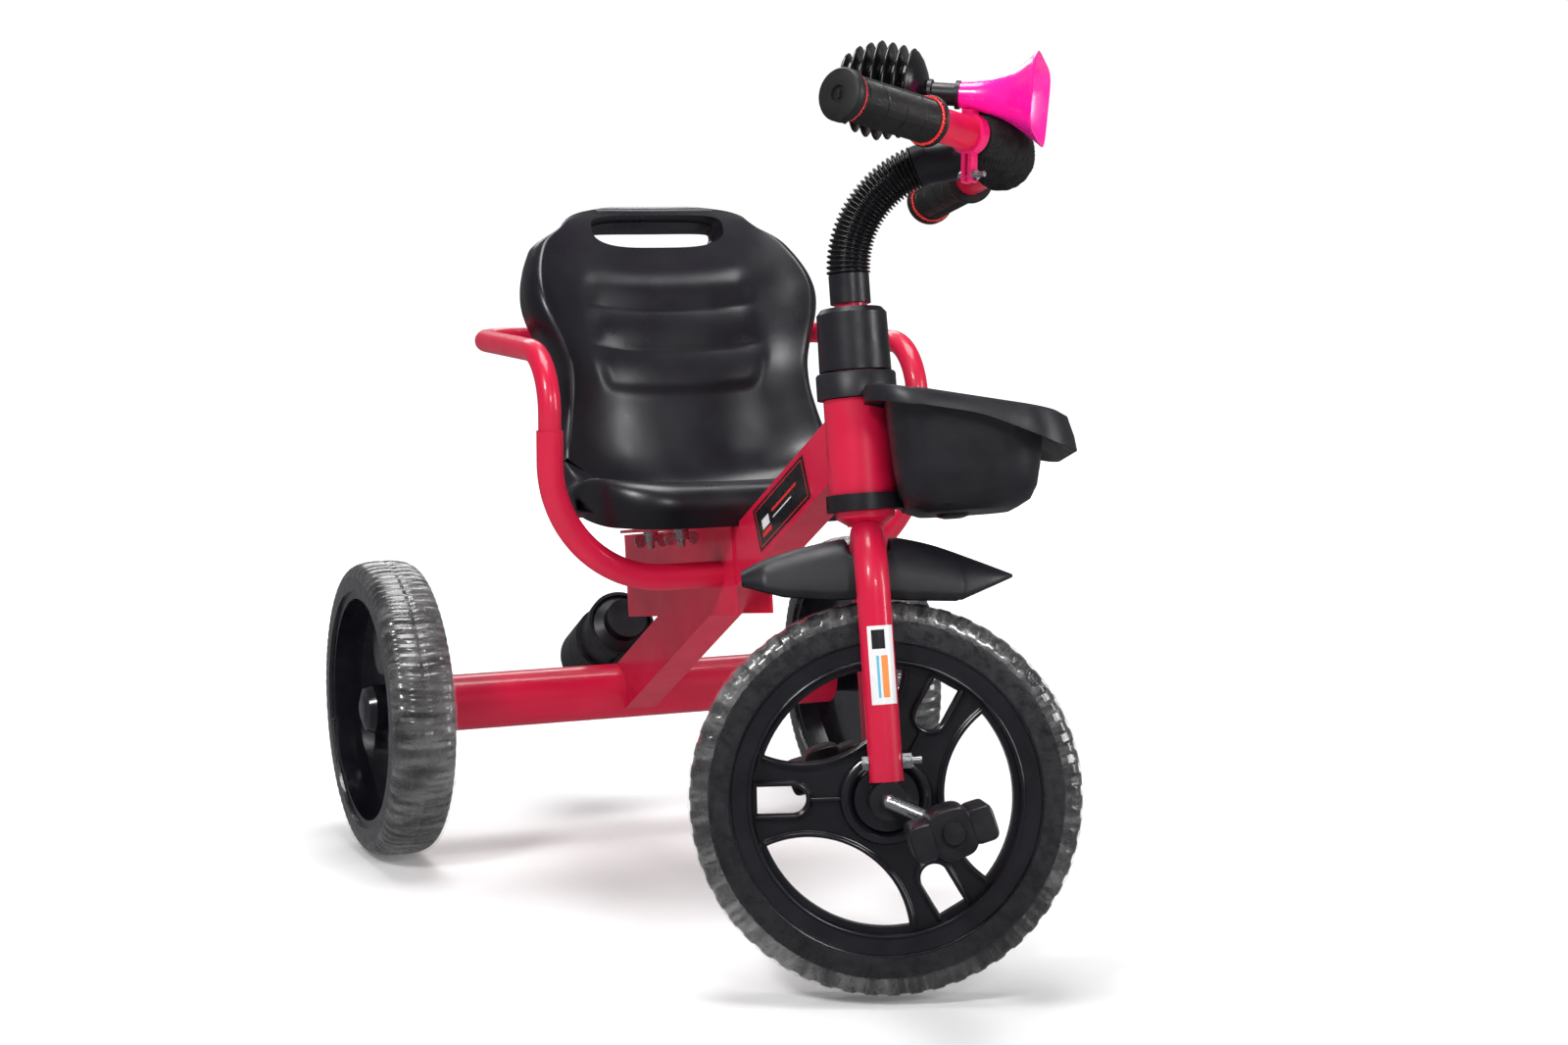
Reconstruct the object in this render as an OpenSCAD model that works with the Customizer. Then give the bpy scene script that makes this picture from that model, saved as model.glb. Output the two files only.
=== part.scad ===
// Children's tricycle: steel frame, pedal-driven front wheel, moulded bucket seat,
// flexible-look handlebar stem, front basket, bulb horn and a bottle cage.
// X = 0 is the symmetry plane, the front is towards -Y, and the floor is Z = 0.
// The origin is on the floor under the middle of the rear axle.

/* [Wheels] */
// Distance from the rear axle to the front axle
wheelbase = 560; // [540:1:600]
// Outer diameter of the front tyre
front_wheel_d = 300; // [290:1:310]
// Width of the front tyre
front_tyre_w = 52; // [46:1:56]
// Outer diameter of the rear tyres
rear_wheel_d = 270; // [260:1:280]
// Width of the rear tyres
rear_tyre_w = 58; // [50:1:64]
// Distance between the middles of the two rear tyres
track = 468; // [450:1:490]

/* [Steering] */
// Lean of the steering axis from upright, top to the rear
head_tilt = 10.5; // [8:0.5:13]
// Turn of the fork to the rider's left in the modelled pose
steer_angle = 68; // [-70:1:70]
// How far the stem was tightened back from the line of the wheel
stem_twist = 12.5; // [0:0.5:15]
// Droop of the handlebar's left end
bar_roll = 3; // [0:0.5:5]
// Diameter of the fork blades
fork_tube_d = 25.4; // [22:0.1:28]
// Diameter of the head tube
head_tube_d = 52; // [48:1:56]
// Radius of the pedal cranks
crank_r = 45; // [40:1:60]
// Turn of the cranks from straight ahead, downwards
crank_turn = 27; // [0:1:90]

/* [Handlebar] */
// Diameter of the handlebar tube
bar_d = 25.4; // [22:0.1:26]
// Half of the handlebar's width
bar_half_w = 195; // [180:1:210]
// Sweep of each side of the handlebar towards the rider
bar_sweep = 28; // [20:1:35]
// Length of a grip between its flanges
grip_length = 100; // [90:1:105]

/* [Frame] */
// Height of the main tube's section
main_tube_h = 45; // [40:1:50]
// Width of the main tube's section
main_tube_w = 30; // [26:1:34]
// Diameter of the rear axle tube
axle_tube_d = 51; // [45:1:56]
// Half of the width of the armrest hoop, centre to centre
hoop_half_w = 166; // [160:1:172]

/* [Seat] */
// Widest part of the backrest
seat_w = 278; // [260:1:290]
// Lean of the backrest
seat_lean = 20; // [14:1:24]
// Slope of the seat pan, front up
pan_slope = 8.7; // [6:0.1:10]

/* [Hidden] */
$fn = 48;

red = [0.80, 0.05, 0.16];
black = [0.07, 0.07, 0.08];
dark = [0.13, 0.13, 0.14];
steel = [0.74, 0.75, 0.77];
pink = [0.98, 0.05, 0.55];

gap = 0.3;                    // between bodies that turn past each other
slip = 0.05;                  // radial clearance of a running fit
front_r = front_wheel_d / 2;
rear_r = rear_wheel_d / 2;

// heights along the steering axis, measured from the front axle
blade_end = 14;
crown_top = 216;
crown_t = 5;
cup_t = 12.5;
cup_low = crown_top + gap;
head_low = cup_low + cup_t;
head_high = 301;
sleeve_high = 327;
ring_high = 321;
cap_low = 322.5;
cap_high = 370;
cuff_low = 374;
bend_low = 396;
main_join = 274;

// steering parts
blade_x = 45;
blade_wall = 2;
crown_r = blade_x;
crown_bend = crown_top - crown_t - fork_tube_d / 2 - crown_r;
steerer_d = 28.6;
head_wall = 2;
sleeve_d = 33;
stem_d = 25;
stem_wall = 2;
hose_r = 80;
hose_d = 32;
hose_a = 74;
stem_a = 86;
cuff_d = 31;
bolt_h = 28.3;
bolt_d = 6;
axle_d = 10;
eye_d = 28;
eye_half = 12.5;

// handlebar: a shallow V with a round middle
bar_reach = 124;
bar_h = 478.4;
bar_r = 118;
bar_pitch = 5;
bar_wall = 1.8;
arm_x = bar_r * sin(bar_sweep);
arm_y = bar_r * (1 - cos(bar_sweep));
arm_len = (bar_half_w - arm_x) / cos(bar_sweep);
grip_d = 33;
flange_d = 38;
grip_in = arm_len - grip_length;
foam_d = 45;
foam_a = 23;

// horn, measured along its own axis from above its clamp
horn_x = -60;
horn_up = 28.5;
horn_dip = 4.5;
disc_r = [26, 31.6, 34.6, 36.5, 35.5, 34, 32];
disc_step = 8.2;
disc_0 = -93;
bulb_end = disc_0 + 6 * disc_step + 12;
valley_r = 23;
clamp_along = (abs(horn_x) - arm_x) / cos(bar_sweep);

// wheels
rim_band = 19;
front_rim_r = front_r - 31;
rear_rim_r = rear_r - 27;
rear_x = track / 2;
rod_d = 12;
tube_half = rear_x - rear_tyre_w / 2 - 6;
crank_x = 67;
pedal_in = 74;
pedal_len = 74;
window_r = 79;
window_at = 121;
window_edge = 96.5;
slot_w = 25;
wheel_turn = 57.5;

// frame
main_rise = front_r + main_join * cos(head_tilt) - rear_r;
main_run = wheelbase - main_join * sin(head_tilt);
main_slope = atan2(main_rise, main_run);
main_len = sqrt(main_rise * main_rise + main_run * main_run);
wall = 2;
arm_d = 22.2;
arm_at = -265;
arm_z = 281;
arm_bend = 100;
sleeve_top = 407;
hoop_d = 19;
hoop_bend = 50;
hoop_z = 470;
rail_y = -58;
corner_r = 36;

// seat, in the plane of its sloping bracket
bracket_y = -27;
bracket_z = 285;
bracket_len = 266;
bracket_d = 75;
plate_t = 2.5;
pan_half = 132;
pan_front = -279;
pan_back = -120;
pan_t = 20;
back_t = 22;
back_z = 345;
back_y = -147;
back_len = 258;
bolt_at = [for (x = [-42, 42], y = [-215, -140]) [x, y]];

// bottle, parallel to the main tube
bottle_up = main_tube_h / 2 + 42;
bottle_r = 29;
cup_r = 33;
cup_low_end = -92;
cup_high_end = -38;

// ---------- places ----------
// x to the rider's left, -y ahead, z up the steering axis, from the front axle
module steered() {
    translate([0, -wheelbase, front_r]) rotate([-head_tilt, 0, 0]) rotate([0, 0, steer_angle])
        children();
}
module stem_frame() { steered() rotate([0, 0, -stem_twist]) children(); }
module bar_frame() {
    stem_frame() translate([0, -bar_reach, bar_h]) rotate([bar_pitch, bar_roll, 0]) children();
}
// z runs out along one arm of the handlebar
module bar_arm(side) {
    mirror([side < 0 ? 1 : 0, 0, 0]) translate([arm_x, arm_y, 0]) rotate([0, 0, bar_sweep])
        rotate([0, 90, 0]) children();
}
// z runs forward along the horn
module horn_frame() {
    bar_frame() translate([horn_x, arm_y + (abs(horn_x) - arm_x) * tan(bar_sweep), horn_up])
        rotate([90 + horn_dip, 0, 0]) children();
}
module front_wheel_frame() { steered() rotate([-wheel_turn, 0, 0]) children(); }
// z runs up the main tube from the rear axle, y is square to it, towards its top
module main_frame() { translate([0, 0, rear_r]) rotate([90 - main_slope, 0, 0]) children(); }
module pan_frame() { translate([0, bracket_y, bracket_z]) rotate([-pan_slope, 0, 0]) children(); }
// y runs up the backrest and z points ahead, out of its face
module back_frame() { translate([0, back_y, back_z]) rotate([90 - seat_lean, 0, 0]) children(); }
module rear_frame(side) { translate([side * rear_x, 0, rear_r]) children(); }

// ---------- shapes ----------
module x_cyl(d, x0, x1) { translate([x0, 0, 0]) rotate([0, 90, 0]) cylinder(d = d, h = x1 - x0); }
module x_ring(d, hole, x0, x1) {
    difference() {
        x_cyl(d, x0, x1);
        x_cyl(hole, x0 - 1, x1 + 1);
    }
}
module ring(d, hole, z0, z1) {
    translate([0, 0, z0]) difference() {
        cylinder(d = d, h = z1 - z0);
        translate([0, 0, -1]) cylinder(d = hole, h = z1 - z0 + 2);
    }
}
module rod(d, z0, z1) { translate([0, 0, z0]) cylinder(d = d, h = z1 - z0); }
// a round bar that starts along +z and bends towards -y
module bend(d, r, a) {
    translate([0, -r, 0]) rotate([90, 0, 90]) rotate_extrude(angle = a) translate([r, 0])
        circle(d = d);
}
module after_bend(r, a) { translate([0, r * (cos(a) - 1), r * sin(a)]) rotate([a, 0, 0]) children(); }
module both() {
    children();
    mirror([1, 0, 0]) children();
}
module hex(across, h) { cylinder(d = across / cos(30), h = h, $fn = 6); }
module plate(x, y, r, h) {
    translate([0, 0, h / 2]) {
        cube([x - 2 * r, y, h], center = true);
        cube([x, y - 2 * r, h], center = true);
    }
    for (i = [-1, 1], j = [-1, 1]) translate([i * (x / 2 - r), j * (y / 2 - r), 0]) cylinder(r = r, h = h);
}

// ---------- frame ----------
module axle_tube() color(red) translate([0, 0, rear_r])
    x_ring(axle_tube_d, axle_tube_d - 2 * wall, -tube_half, tube_half);

module main_box(inset = 0, extra = 0) {
    main_frame() translate([inset - main_tube_w / 2, inset - main_tube_h / 2, -extra])
        cube([main_tube_w - 2 * inset, main_tube_h - 2 * inset, main_len + 2 * extra]);
}
module main_tube() color(red) difference() {
    main_box();
    main_box(wall, 1);
    translate([0, 0, rear_r]) x_cyl(axle_tube_d, -60, 60);
    steered() rod(head_tube_d, head_low - 20, head_high + 20);
}

module head_tube() color(red) steered()
    ring(head_tube_d, head_tube_d - 2 * head_wall, head_low, head_high);

module seat_bracket() color(red) difference() {
    pan_frame() {
        translate([-main_tube_w / 2 - wall, -bracket_len, -bracket_d]) difference() {
            cube([main_tube_w + 2 * wall, bracket_len, bracket_d]);
            translate([wall, -1, -1]) cube([main_tube_w, bracket_len + 2, bracket_d - wall + 1]);
        }
        translate([0, -178, 0]) plate(128, 128, 10, plate_t);
    }
    pan_frame() for (p = bolt_at) translate([p[0], p[1], -5]) cylinder(d = bolt_d + 0.4, h = 12);
}

module armrest_arm(side) color(red) {
    lift = arm_z + arm_bend;
    run = hoop_half_w - arm_bend;
    difference() {
        mirror([side < 0 ? 1 : 0, 0, 0]) translate([0, arm_at, 0]) {
            translate([0, 0, arm_z]) x_cyl(arm_d, main_tube_w / 2 + wall, run);
            translate([run, 0, lift]) rotate([90, 0, 0]) rotate([0, 0, -90])
                rotate_extrude(angle = 90) translate([arm_bend, 0]) circle(d = arm_d);
            translate([hoop_half_w, 0, 0]) rod(arm_d, lift, sleeve_top);
        }
        translate([side * hoop_half_w, arm_at, 0]) rod(hoop_d, lift, sleeve_top + 1);
    }
}
module armrest_arm_left() armrest_arm(1);
module armrest_arm_right() armrest_arm(-1);

module armrest_hoop() color(red) {
    turn_y = arm_at + hoop_bend;
    both() {
        translate([hoop_half_w, arm_at, 0]) rod(hoop_d, arm_z + arm_bend, hoop_z - hoop_bend);
        translate([hoop_half_w, arm_at, hoop_z - hoop_bend]) rotate([0, 0, 180]) bend(hoop_d, hoop_bend, 90);
        translate([hoop_half_w, turn_y, hoop_z]) rotate([-90, 0, 0])
            rod(hoop_d, 0, rail_y - corner_r - turn_y);
        translate([hoop_half_w - corner_r, rail_y - corner_r, hoop_z]) rotate_extrude(angle = 90)
            translate([corner_r, 0]) circle(d = hoop_d);
    }
    translate([0, rail_y, hoop_z]) x_cyl(hoop_d, corner_r - hoop_half_w, hoop_half_w - corner_r);
}

module rear_axle_rod() color(steel) translate([0, 0, rear_r]) x_cyl(rod_d, -rear_x - 22, rear_x + 22);

module axle_bushes() color(dark) translate([0, 0, rear_r]) both() {
    x_ring(axle_tube_d - 2 * wall, rod_d, tube_half - 22, tube_half);
    x_ring(30, rod_d, tube_half, tube_half + 3);
}
module axle_washers() color(steel) translate([0, 0, rear_r]) both()
    x_ring(24, rod_d, rear_x + 8.6, rear_x + 10.4);
module axle_nuts() color(steel) translate([0, 0, rear_r]) both() translate([rear_x + 10.4, 0, 0])
    rotate([0, 90, 0]) difference() {
        hex(19, 9);
        rod(rod_d, -1, 10);
    }

// ---------- seat ----------
module back_outline(inset) {
    hull() both() {
        translate([12, 0]) square([pan_half - 24 - inset, 10]);
        translate([seat_w / 2 - 42, 165]) circle(r = 42 - inset);
        translate([58, back_len - 30]) circle(r = 30 - inset);
    }
}
module slot_outline() {
    hull() both() translate([48, back_len - 29]) circle(r = 12);
}
module seat_shell() color(black) difference() {
    union() {
        back_frame() {
            translate([0, 0, -back_t]) linear_extrude(height = back_t) back_outline(0);
            both() hull() for (s = [70, 160]) translate([seat_w / 2 - 22, s, 0])
                cylinder(r1 = 20, r2 = 12, h = 26);
        }
        pan_frame() {
            translate([0, (pan_front + pan_back) / 2, plate_t])
                plate(2 * pan_half, pan_back - pan_front, 46, pan_t);
            translate([0, pan_front + 26, plate_t + 20]) rotate([0, 90, 0])
                cylinder(d = 40, h = 2 * pan_half - 80, center = true);
            both() hull() for (y = [pan_front + 40, pan_back - 20]) translate([pan_half - 20, y, 0])
                rod(40, plate_t, plate_t + 44);
        }
    }
    back_frame() translate([0, 0, -40]) linear_extrude(height = 80) slot_outline();
    pan_frame() translate([-200, pan_back - 260, plate_t - 60]) cube([400, 420, 60]);
    pan_frame() for (p = bolt_at) translate([p[0], p[1], 0]) cylinder(d = bolt_d, h = 16);
}
module seat_bolts() color(steel) pan_frame() for (p = bolt_at) translate([p[0], p[1], 0])
    rod(bolt_d, -15, 16);
module wing_nuts() color(steel) pan_frame() for (p = bolt_at) translate([p[0], p[1], -9]) difference() {
    union() {
        cylinder(d = 13, h = 9);
        both() {
            translate([10, 0, 1]) rotate([90, 0, 0]) cylinder(d = 11, h = 2.4, center = true);
            translate([5, -1.2, 0]) cube([5, 2.4, 5]);
        }
    }
    rod(bolt_d, -20, 20);
}

// ---------- steering ----------
module headset_cup() color(black) steered() {
    ring(58, steerer_d + 2 * slip, cup_low, head_low);
    ring(head_tube_d - 2 * head_wall, steerer_d + 2 * slip, head_low, head_low + 14);
}
module headset_bush() color(black) steered()
    ring(head_tube_d - 2 * head_wall, steerer_d + 2 * slip, head_high - 16, head_high);

module fork_tube(d) {
    both() translate([blade_x, 0, 0]) rod(d, blade_end, crown_bend);
    translate([0, 0, crown_bend]) rotate([90, 0, 0]) rotate_extrude(angle = 180)
        translate([crown_r, 0]) circle(d = d);
}
module fork() color(red) steered() difference() {
    union() {
        fork_tube(fork_tube_d);
        translate([0, 0, crown_top - crown_t - 6]) cylinder(d1 = 26, d2 = 45, h = 6);
        rod(45, crown_top - crown_t, crown_top);
        rod(steerer_d, crown_top - crown_t - 6, sleeve_high + 10);
    }
    fork_tube(fork_tube_d - 2 * blade_wall);
    both() translate([blade_x, 0, 0]) rod(fork_tube_d - 2 * blade_wall, blade_end - 1, blade_end + 20);
    rod(stem_d, crown_top + 4, sleeve_high + 11);
    both() translate([blade_x, 0, bolt_h]) rotate([90, 0, 0]) rod(bolt_d, -20, 20);
}
module fork_blade_bushes() color(dark) steered() both() difference() {
    union() {
        translate([blade_x, 0, 0]) rod(fork_tube_d - 2 * blade_wall, 8, blade_end + 30);
        x_cyl(eye_d, blade_x - eye_half, blade_x + eye_half);
    }
    x_cyl(axle_d + 2 * slip, blade_x - 20, blade_x + 20);
    translate([blade_x, 0, bolt_h]) rotate([90, 0, 0]) rod(bolt_d, -20, 20);
}
module clamp_bolts() color(steel) steered() both() translate([blade_x, 0, bolt_h]) {
    rotate([90, 0, 0]) rod(bolt_d, -fork_tube_d / 2 - 0.5, 27);
    rotate([-90, 0, 0]) translate([0, 0, fork_tube_d / 2]) hex(10, 4.5);
}
module clamp_nuts() color(steel) steered() both() translate([blade_x, -fork_tube_d / 2, bolt_h])
    rotate([90, 0, 0]) difference() {
        hex(11, 7);
        rod(bolt_d, -1, 8);
    }

fender_r = 190;
fender_edge = 147;
fender_half = 30;
fender_t = 2.5;
function arch(u, half, low, high) = low + (high - low) * pow(max(0, 1 - pow(abs(u) / half, 2.4)), 1 / 2.4);
module arch_profile(inset) {
    half = fender_half - inset;
    low = fender_edge - (inset > 0 ? 1 : 0);
    high = fender_r - inset;
    polygon(concat([for (i = [-10:10]) [arch(half * sin(i * 9), half, low, high), half * sin(i * 9)]],
        inset > 0 ? [[low - 30, half], [low - 30, -half]] : [[low - 20, half], [low - 20, -half]]));
}
// the arch turned round the wheel, in the steering frame, with its middle at the front
module fender_turn(inset) {
    translate([0, 8, 7]) rotate([0, 90, 0]) rotate([0, 0, 140]) rotate_extrude(angle = 80)
        arch_profile(inset);
}
module fender() color(dark) steered() {
    floor_z = crown_bend + crown_r - fork_tube_d / 2 - 0.5;
    difference() {
        intersection() {
            fender_turn(0);
            rotate([90, 0, -90]) linear_extrude(height = 80, center = true)
                polygon([[-108, 161], [-65, 144], [-36, 148.5], [-10, 152], [18, 152.5], [55, 154],
                    [66, 161], [96, 180], [90, 200], [0, 204], [-90, 190]]);
        }
        difference() {
            fender_turn(fender_t);
            translate([-40, -fork_tube_d / 2 - 3.5, floor_z - fender_t]) cube([80, fork_tube_d + 7, 40]);
        }
        translate([-40, -fork_tube_d / 2 - 0.8, floor_z]) cube([80, fork_tube_d + 1.6, 40]);
        rod(5, 150, 200);
        fork_tube(fork_tube_d + 2 * gap);
    }
}
module fender_screw() color(steel) steered() {
    floor_z = crown_bend + crown_r - fork_tube_d / 2 - 0.5;
    rod(5, floor_z - fender_t, floor_z + 0.5);
    rod(11, floor_z - fender_t - 3, floor_z - fender_t);
}

module column_sleeve() color(red) steered() ring(sleeve_d, steerer_d, head_high + gap, sleeve_high);
module stem() color(red) stem_frame() difference() {
    union() {
        rod(stem_d, crown_top + 80, bend_low);
        translate([0, 0, bend_low]) {
            bend(stem_d, hose_r, stem_a);
            after_bend(hose_r, stem_a) rod(stem_d, 0, 39);
        }
    }
    rod(stem_d - 2 * stem_wall, crown_top + 79, bend_low - 10);
    translate([0, -bar_reach, bar_h]) rotate([bar_pitch, bar_roll, 0]) bar_path(bar_d, bar_sweep, 5);
}
module stem_clamp() color(steel) stem_frame() difference() {
    union() {
        rod(40, sleeve_high + 10, sleeve_high + 26);
        translate([14, -6, sleeve_high + 10]) cube([9, 12, 16]);
    }
    rod(stem_d, sleeve_high, sleeve_high + 30);
    translate([10, -0.8, sleeve_high]) cube([20, 1.6, 40]);
}
module stem_cap() color(black) steered() difference() {
    union() {
        translate([0, 0, cap_low]) cylinder(d1 = 55, d2 = 53.5, h = cap_high - cap_low - 4);
        translate([0, 0, cap_high - 4]) cylinder(d1 = 53.5, d2 = 47, h = 4);
    }
    rod(49, cap_low - 1, cap_high - 5);
    rod(stem_d, cap_low, cap_high + 1);
}
module hose_cuff_lower() color(black) stem_frame() ring(cuff_d, stem_d, cuff_low, bend_low);
module bellows_hose() color(black) stem_frame() translate([0, 0, bend_low]) difference() {
    bend(hose_d, hose_r, hose_a);
    bend(stem_d, hose_r, hose_a + 2);
    translate([0, -2, -5]) cylinder(d = stem_d, h = 5);
}
module hose_cuff_upper() color(black) stem_frame() translate([0, 0, bend_low]) difference() {
    union() {
        after_bend(hose_r, hose_a) rod(cuff_d + 2, 0, 12);
        after_bend(hose_r, stem_a) rod(cuff_d + 2, -8, 24);
    }
    bend(stem_d, hose_r, stem_a);
    after_bend(hose_r, stem_a) rod(stem_d, -1, 60);
    after_bend(hose_r, hose_a) translate([0, 0, -20]) cylinder(d = 60, h = 20);
}

// the handlebar's middle arc, and its two straight arms for a length
module bar_path(d, a, along) {
    translate([0, bar_r, 0]) rotate([0, 0, 270 - a]) rotate_extrude(angle = 2 * a)
        translate([bar_r, 0]) circle(d = d - 0.02);
    if (along > 0) for (side = [-1, 1]) bar_arm(side) rod(d, -0.5, along);
}
module handlebar() color(red) bar_frame() difference() {
    bar_path(bar_d, bar_sweep, arm_len - 4);
    for (side = [-1, 1]) bar_arm(side) rod(bar_d - 2 * bar_wall, 20, arm_len);
}
module foam_pad() color(black) difference() {
    bar_frame() bar_path(foam_d, foam_a, 0);
    bar_frame() bar_path(bar_d, bar_sweep, 0);
    stem_frame() translate([0, 0, bend_low]) after_bend(hose_r, stem_a) rod(stem_d, -1, 60);
    stem_frame() translate([0, 0, bend_low]) after_bend(hose_r, stem_a) rod(cuff_d + 2.4, -1, 24.2);
    // the dent that the bell presses into the foam
    horn_frame() cylinder(r1 = 14, r2 = 30, h = 36);
}
module grip(side) color(black) bar_frame() bar_arm(side) difference() {
    union() {
        rod(flange_d, grip_in - 4, grip_in);
        rod(grip_d, grip_in, arm_len);
        rod(flange_d, arm_len - 8, arm_len + 1);
    }
    rod(bar_d, grip_in - 5, arm_len - 4);
    ring(flange_d + 2, grip_d, grip_in, grip_in + 2.5);
    ring(flange_d + 2, grip_d, arm_len - 10.5, arm_len - 8);
}
module grip_left() grip(1);
module grip_right() grip(-1);
module grip_rings() color(red) bar_frame() for (side = [-1, 1]) bar_arm(side) {
    ring(flange_d - 2, grip_d, grip_in, grip_in + 2.5);
    ring(flange_d - 2, grip_d, arm_len - 10.5, arm_len - 8);
}

// ---------- horn ----------
module bell_slice(s, half_w, half_h, inset) {
    r = min(half_w, half_h) * 0.6;
    translate([0, 0, s]) linear_extrude(height = 0.5) hull() for (i = [-1, 1], j = [-1, 1])
        translate([i * (half_w - r), j * (half_h - r)]) circle(r = r - inset, $fn = 32);
}
bell = [[-8, 9.5, 9.5], [12, 12.5, 12.5], [35, 25, 20], [51, 44, 29]];
module bell_part(i, inset, extra) {
    hull() {
        bell_slice(bell[i][0] - (i == 0 ? extra : 0), bell[i][1], bell[i][2], inset);
        bell_slice(bell[i + 1][0] + (i == len(bell) - 2 ? extra : 0), bell[i + 1][1], bell[i + 1][2], inset);
    }
}
module bell_body(inset, extra) { for (i = [0:len(bell) - 2]) bell_part(i, inset, extra); }
module horn_bell() color(pink) horn_frame() difference() {
    bell_body(0, 0);
    bell_body(2.2, 0.6);
}
module horn_neck() color(black) horn_frame() difference() {
    union() {
        rod(16.5, bulb_end, -8);
        rod(21, bulb_end, bulb_end + 3);
        rod(21, -11, -8);
    }
    rod(9, bulb_end - 1, -7);
}
module horn_bellows() color(black) horn_frame() {
    difference() {
        union() {
            rod(2 * valley_r, disc_0 - 3, disc_0 + 6 * disc_step);
            for (i = [0:6]) translate([0, 0, disc_0 + i * disc_step]) {
                translate([0, 0, -2.6]) cylinder(r1 = valley_r - 2, r2 = disc_r[i], h = 2);
                rod(2 * disc_r[i], -0.6, 0.6);
                translate([0, 0, 0.6]) cylinder(r1 = disc_r[i], r2 = valley_r - 2, h = 2);
            }
            translate([0, 0, disc_0 + 6 * disc_step]) cylinder(r1 = disc_r[6], r2 = 10, h = 12);
        }
        rod(2 * valley_r - 6, disc_0, disc_0 + 6 * disc_step);
        rod(9, disc_0, bulb_end + 20);
    }
}
module horn_end_disc() color(black) horn_frame() {
    translate([0, 0, disc_0 - 6]) cylinder(r1 = 14, r2 = 20, h = 3);
}
module horn_clamp() color(pink) difference() {
    bar_frame() bar_arm(-1) translate([0, 0, clamp_along - 4]) difference() {
        union() {
            cylinder(d = bar_d + 5, h = 8);
            // the two ears under the bar, and the foot that carries the bell
            translate([12, -4.5, 0]) cube([24, 3, 8]);
            translate([12, 1.5, 0]) cube([24, 3, 8]);
            translate([-20, -5, 0]) cube([8, 10, 8]);
        }
        rod(bar_d, -1, 9);
        translate([31, 0, 4]) rotate([90, 0, 0]) rod(4, -10, 10);
    }
    horn_frame() bell_part(0, 0, 0);
}
module horn_screw() color(steel) bar_frame() bar_arm(-1)
    translate([31, 0, clamp_along]) rotate([90, 0, 0]) {
        rod(4, -9, 14);
        translate([0, 0, -7.5]) hex(7, 3);
        translate([0, 0, 4.5]) hex(7, 3.2);
    }

// ---------- basket ----------
basket_back = 20;
basket_front = 136;
basket_low = 212;
rim_back = 307;
rim_fall = 12.5;
notch_r = 31.5;
// the tub: smaller below than above, hollowed round the head tube
module basket_tub(inset, high) {
    cy = -(basket_front + basket_back) / 2;
    hull() for (i = [-1, 1]) {
        for (j = [-1, 1]) translate([i * 60, cy + j * 42, high]) cylinder(r = 28 - inset, h = 0.1, $fn = 32);
        for (j = [-1, 1]) translate([i * 58, cy + j * 38, basket_low + 20])
            cylinder(r = 24 - inset, h = 1, $fn = 32);
        for (j = [-1, 1]) translate([i * 50, cy + j * 28, basket_low + inset])
            cylinder(r = 18, h = 1, $fn = 32);
    }
}
module basket_body(inset) {
    difference() {
        basket_tub(inset, 320);
        rod(2 * notch_r + 2 * inset, 150, 330);
    }
}
module rim_plane() { translate([0, 0, rim_back]) rotate([rim_fall, 0, 0]) children(); }
module basket() color(black) steered() difference() {
    union() {
        difference() {
            basket_body(0);
            rim_plane() translate([-200, -300, -3]) cube([400, 600, 200]);
        }
        rim_plane() difference() {
            translate([0, -80, -13]) plate(194, 142, 44, 13);
            translate([0, -80, -20]) plate(184, 132, 40, 17);
            translate([0, 0, -40]) cylinder(r = notch_r, h = 80);
        }
        rod(61, head_high + 0.6, ring_high);
        translate([-24, -38, 284]) cube([48, 12, 23]);
    }
    difference() {
        basket_body(2.6);
        rod(2 * notch_r + 5, 150, 330);
    }
    rod(sleeve_d, head_high - 10, ring_high + 1);
    rod(2 * 27.5, 150, head_high + 0.6);
}

// ---------- front wheel ----------
function tread(r, w, s) = [r - 0.1 * r * pow(abs(s), 3), s * w / 2];
module tyre(r, w, seat_r) {
    rotate([0, 90, 0]) rotate_extrude($fn = 96) polygon(concat(
        [[seat_r, -w / 2 + 3]], [for (i = [-7:7]) tread(r, w, i / 7)], [[seat_r, w / 2 - 3]]));
}
module front_tyre() color(dark) steered() tyre(front_r, front_tyre_w, front_rim_r);
module front_rim() color(black) front_wheel_frame() {
    rotate([0, 90, 0]) rotate_extrude($fn = 96) polygon([[front_rim_r, -23], [front_rim_r, 23],
        [front_rim_r - rim_band + 3, 22], [front_rim_r - rim_band, 18], [front_rim_r - rim_band, -18],
        [front_rim_r - rim_band + 3, -22]]);
    difference() {
        rotate([0, 90, 0]) difference() {
            union() {
                cylinder(r = front_rim_r - rim_band + 2, h = 16, center = true);
                cylinder(r = 24, h = 54, center = true);
            }
            for (a = [0, 120, 240]) rotate([0, 0, a]) {
                translate([0, window_at, 0]) intersection() {
                    cylinder(r = window_r, h = 20, center = true, $fn = 64);
                    translate([0, -window_at, 0]) cylinder(r = window_edge, h = 22,
                        center = true);
                }
                rotate([0, 0, 60]) {
                    translate([-slot_w / 2, 70, -10]) cube([slot_w, window_edge - 70, 20]);
                    translate([0, 70, -10]) cylinder(d = slot_w, h = 20);
                }
            }
        }
        x_cyl(axle_d, -40, 40);
        rotate([wheel_turn + crank_turn, 0, 0]) rod(4, -9, 9);
    }
}
module hub_rings() color(black) steered() both() {
    x_ring(70, 48, 8, 20);
    x_ring(30, axle_d, 27, 32);
}
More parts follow.
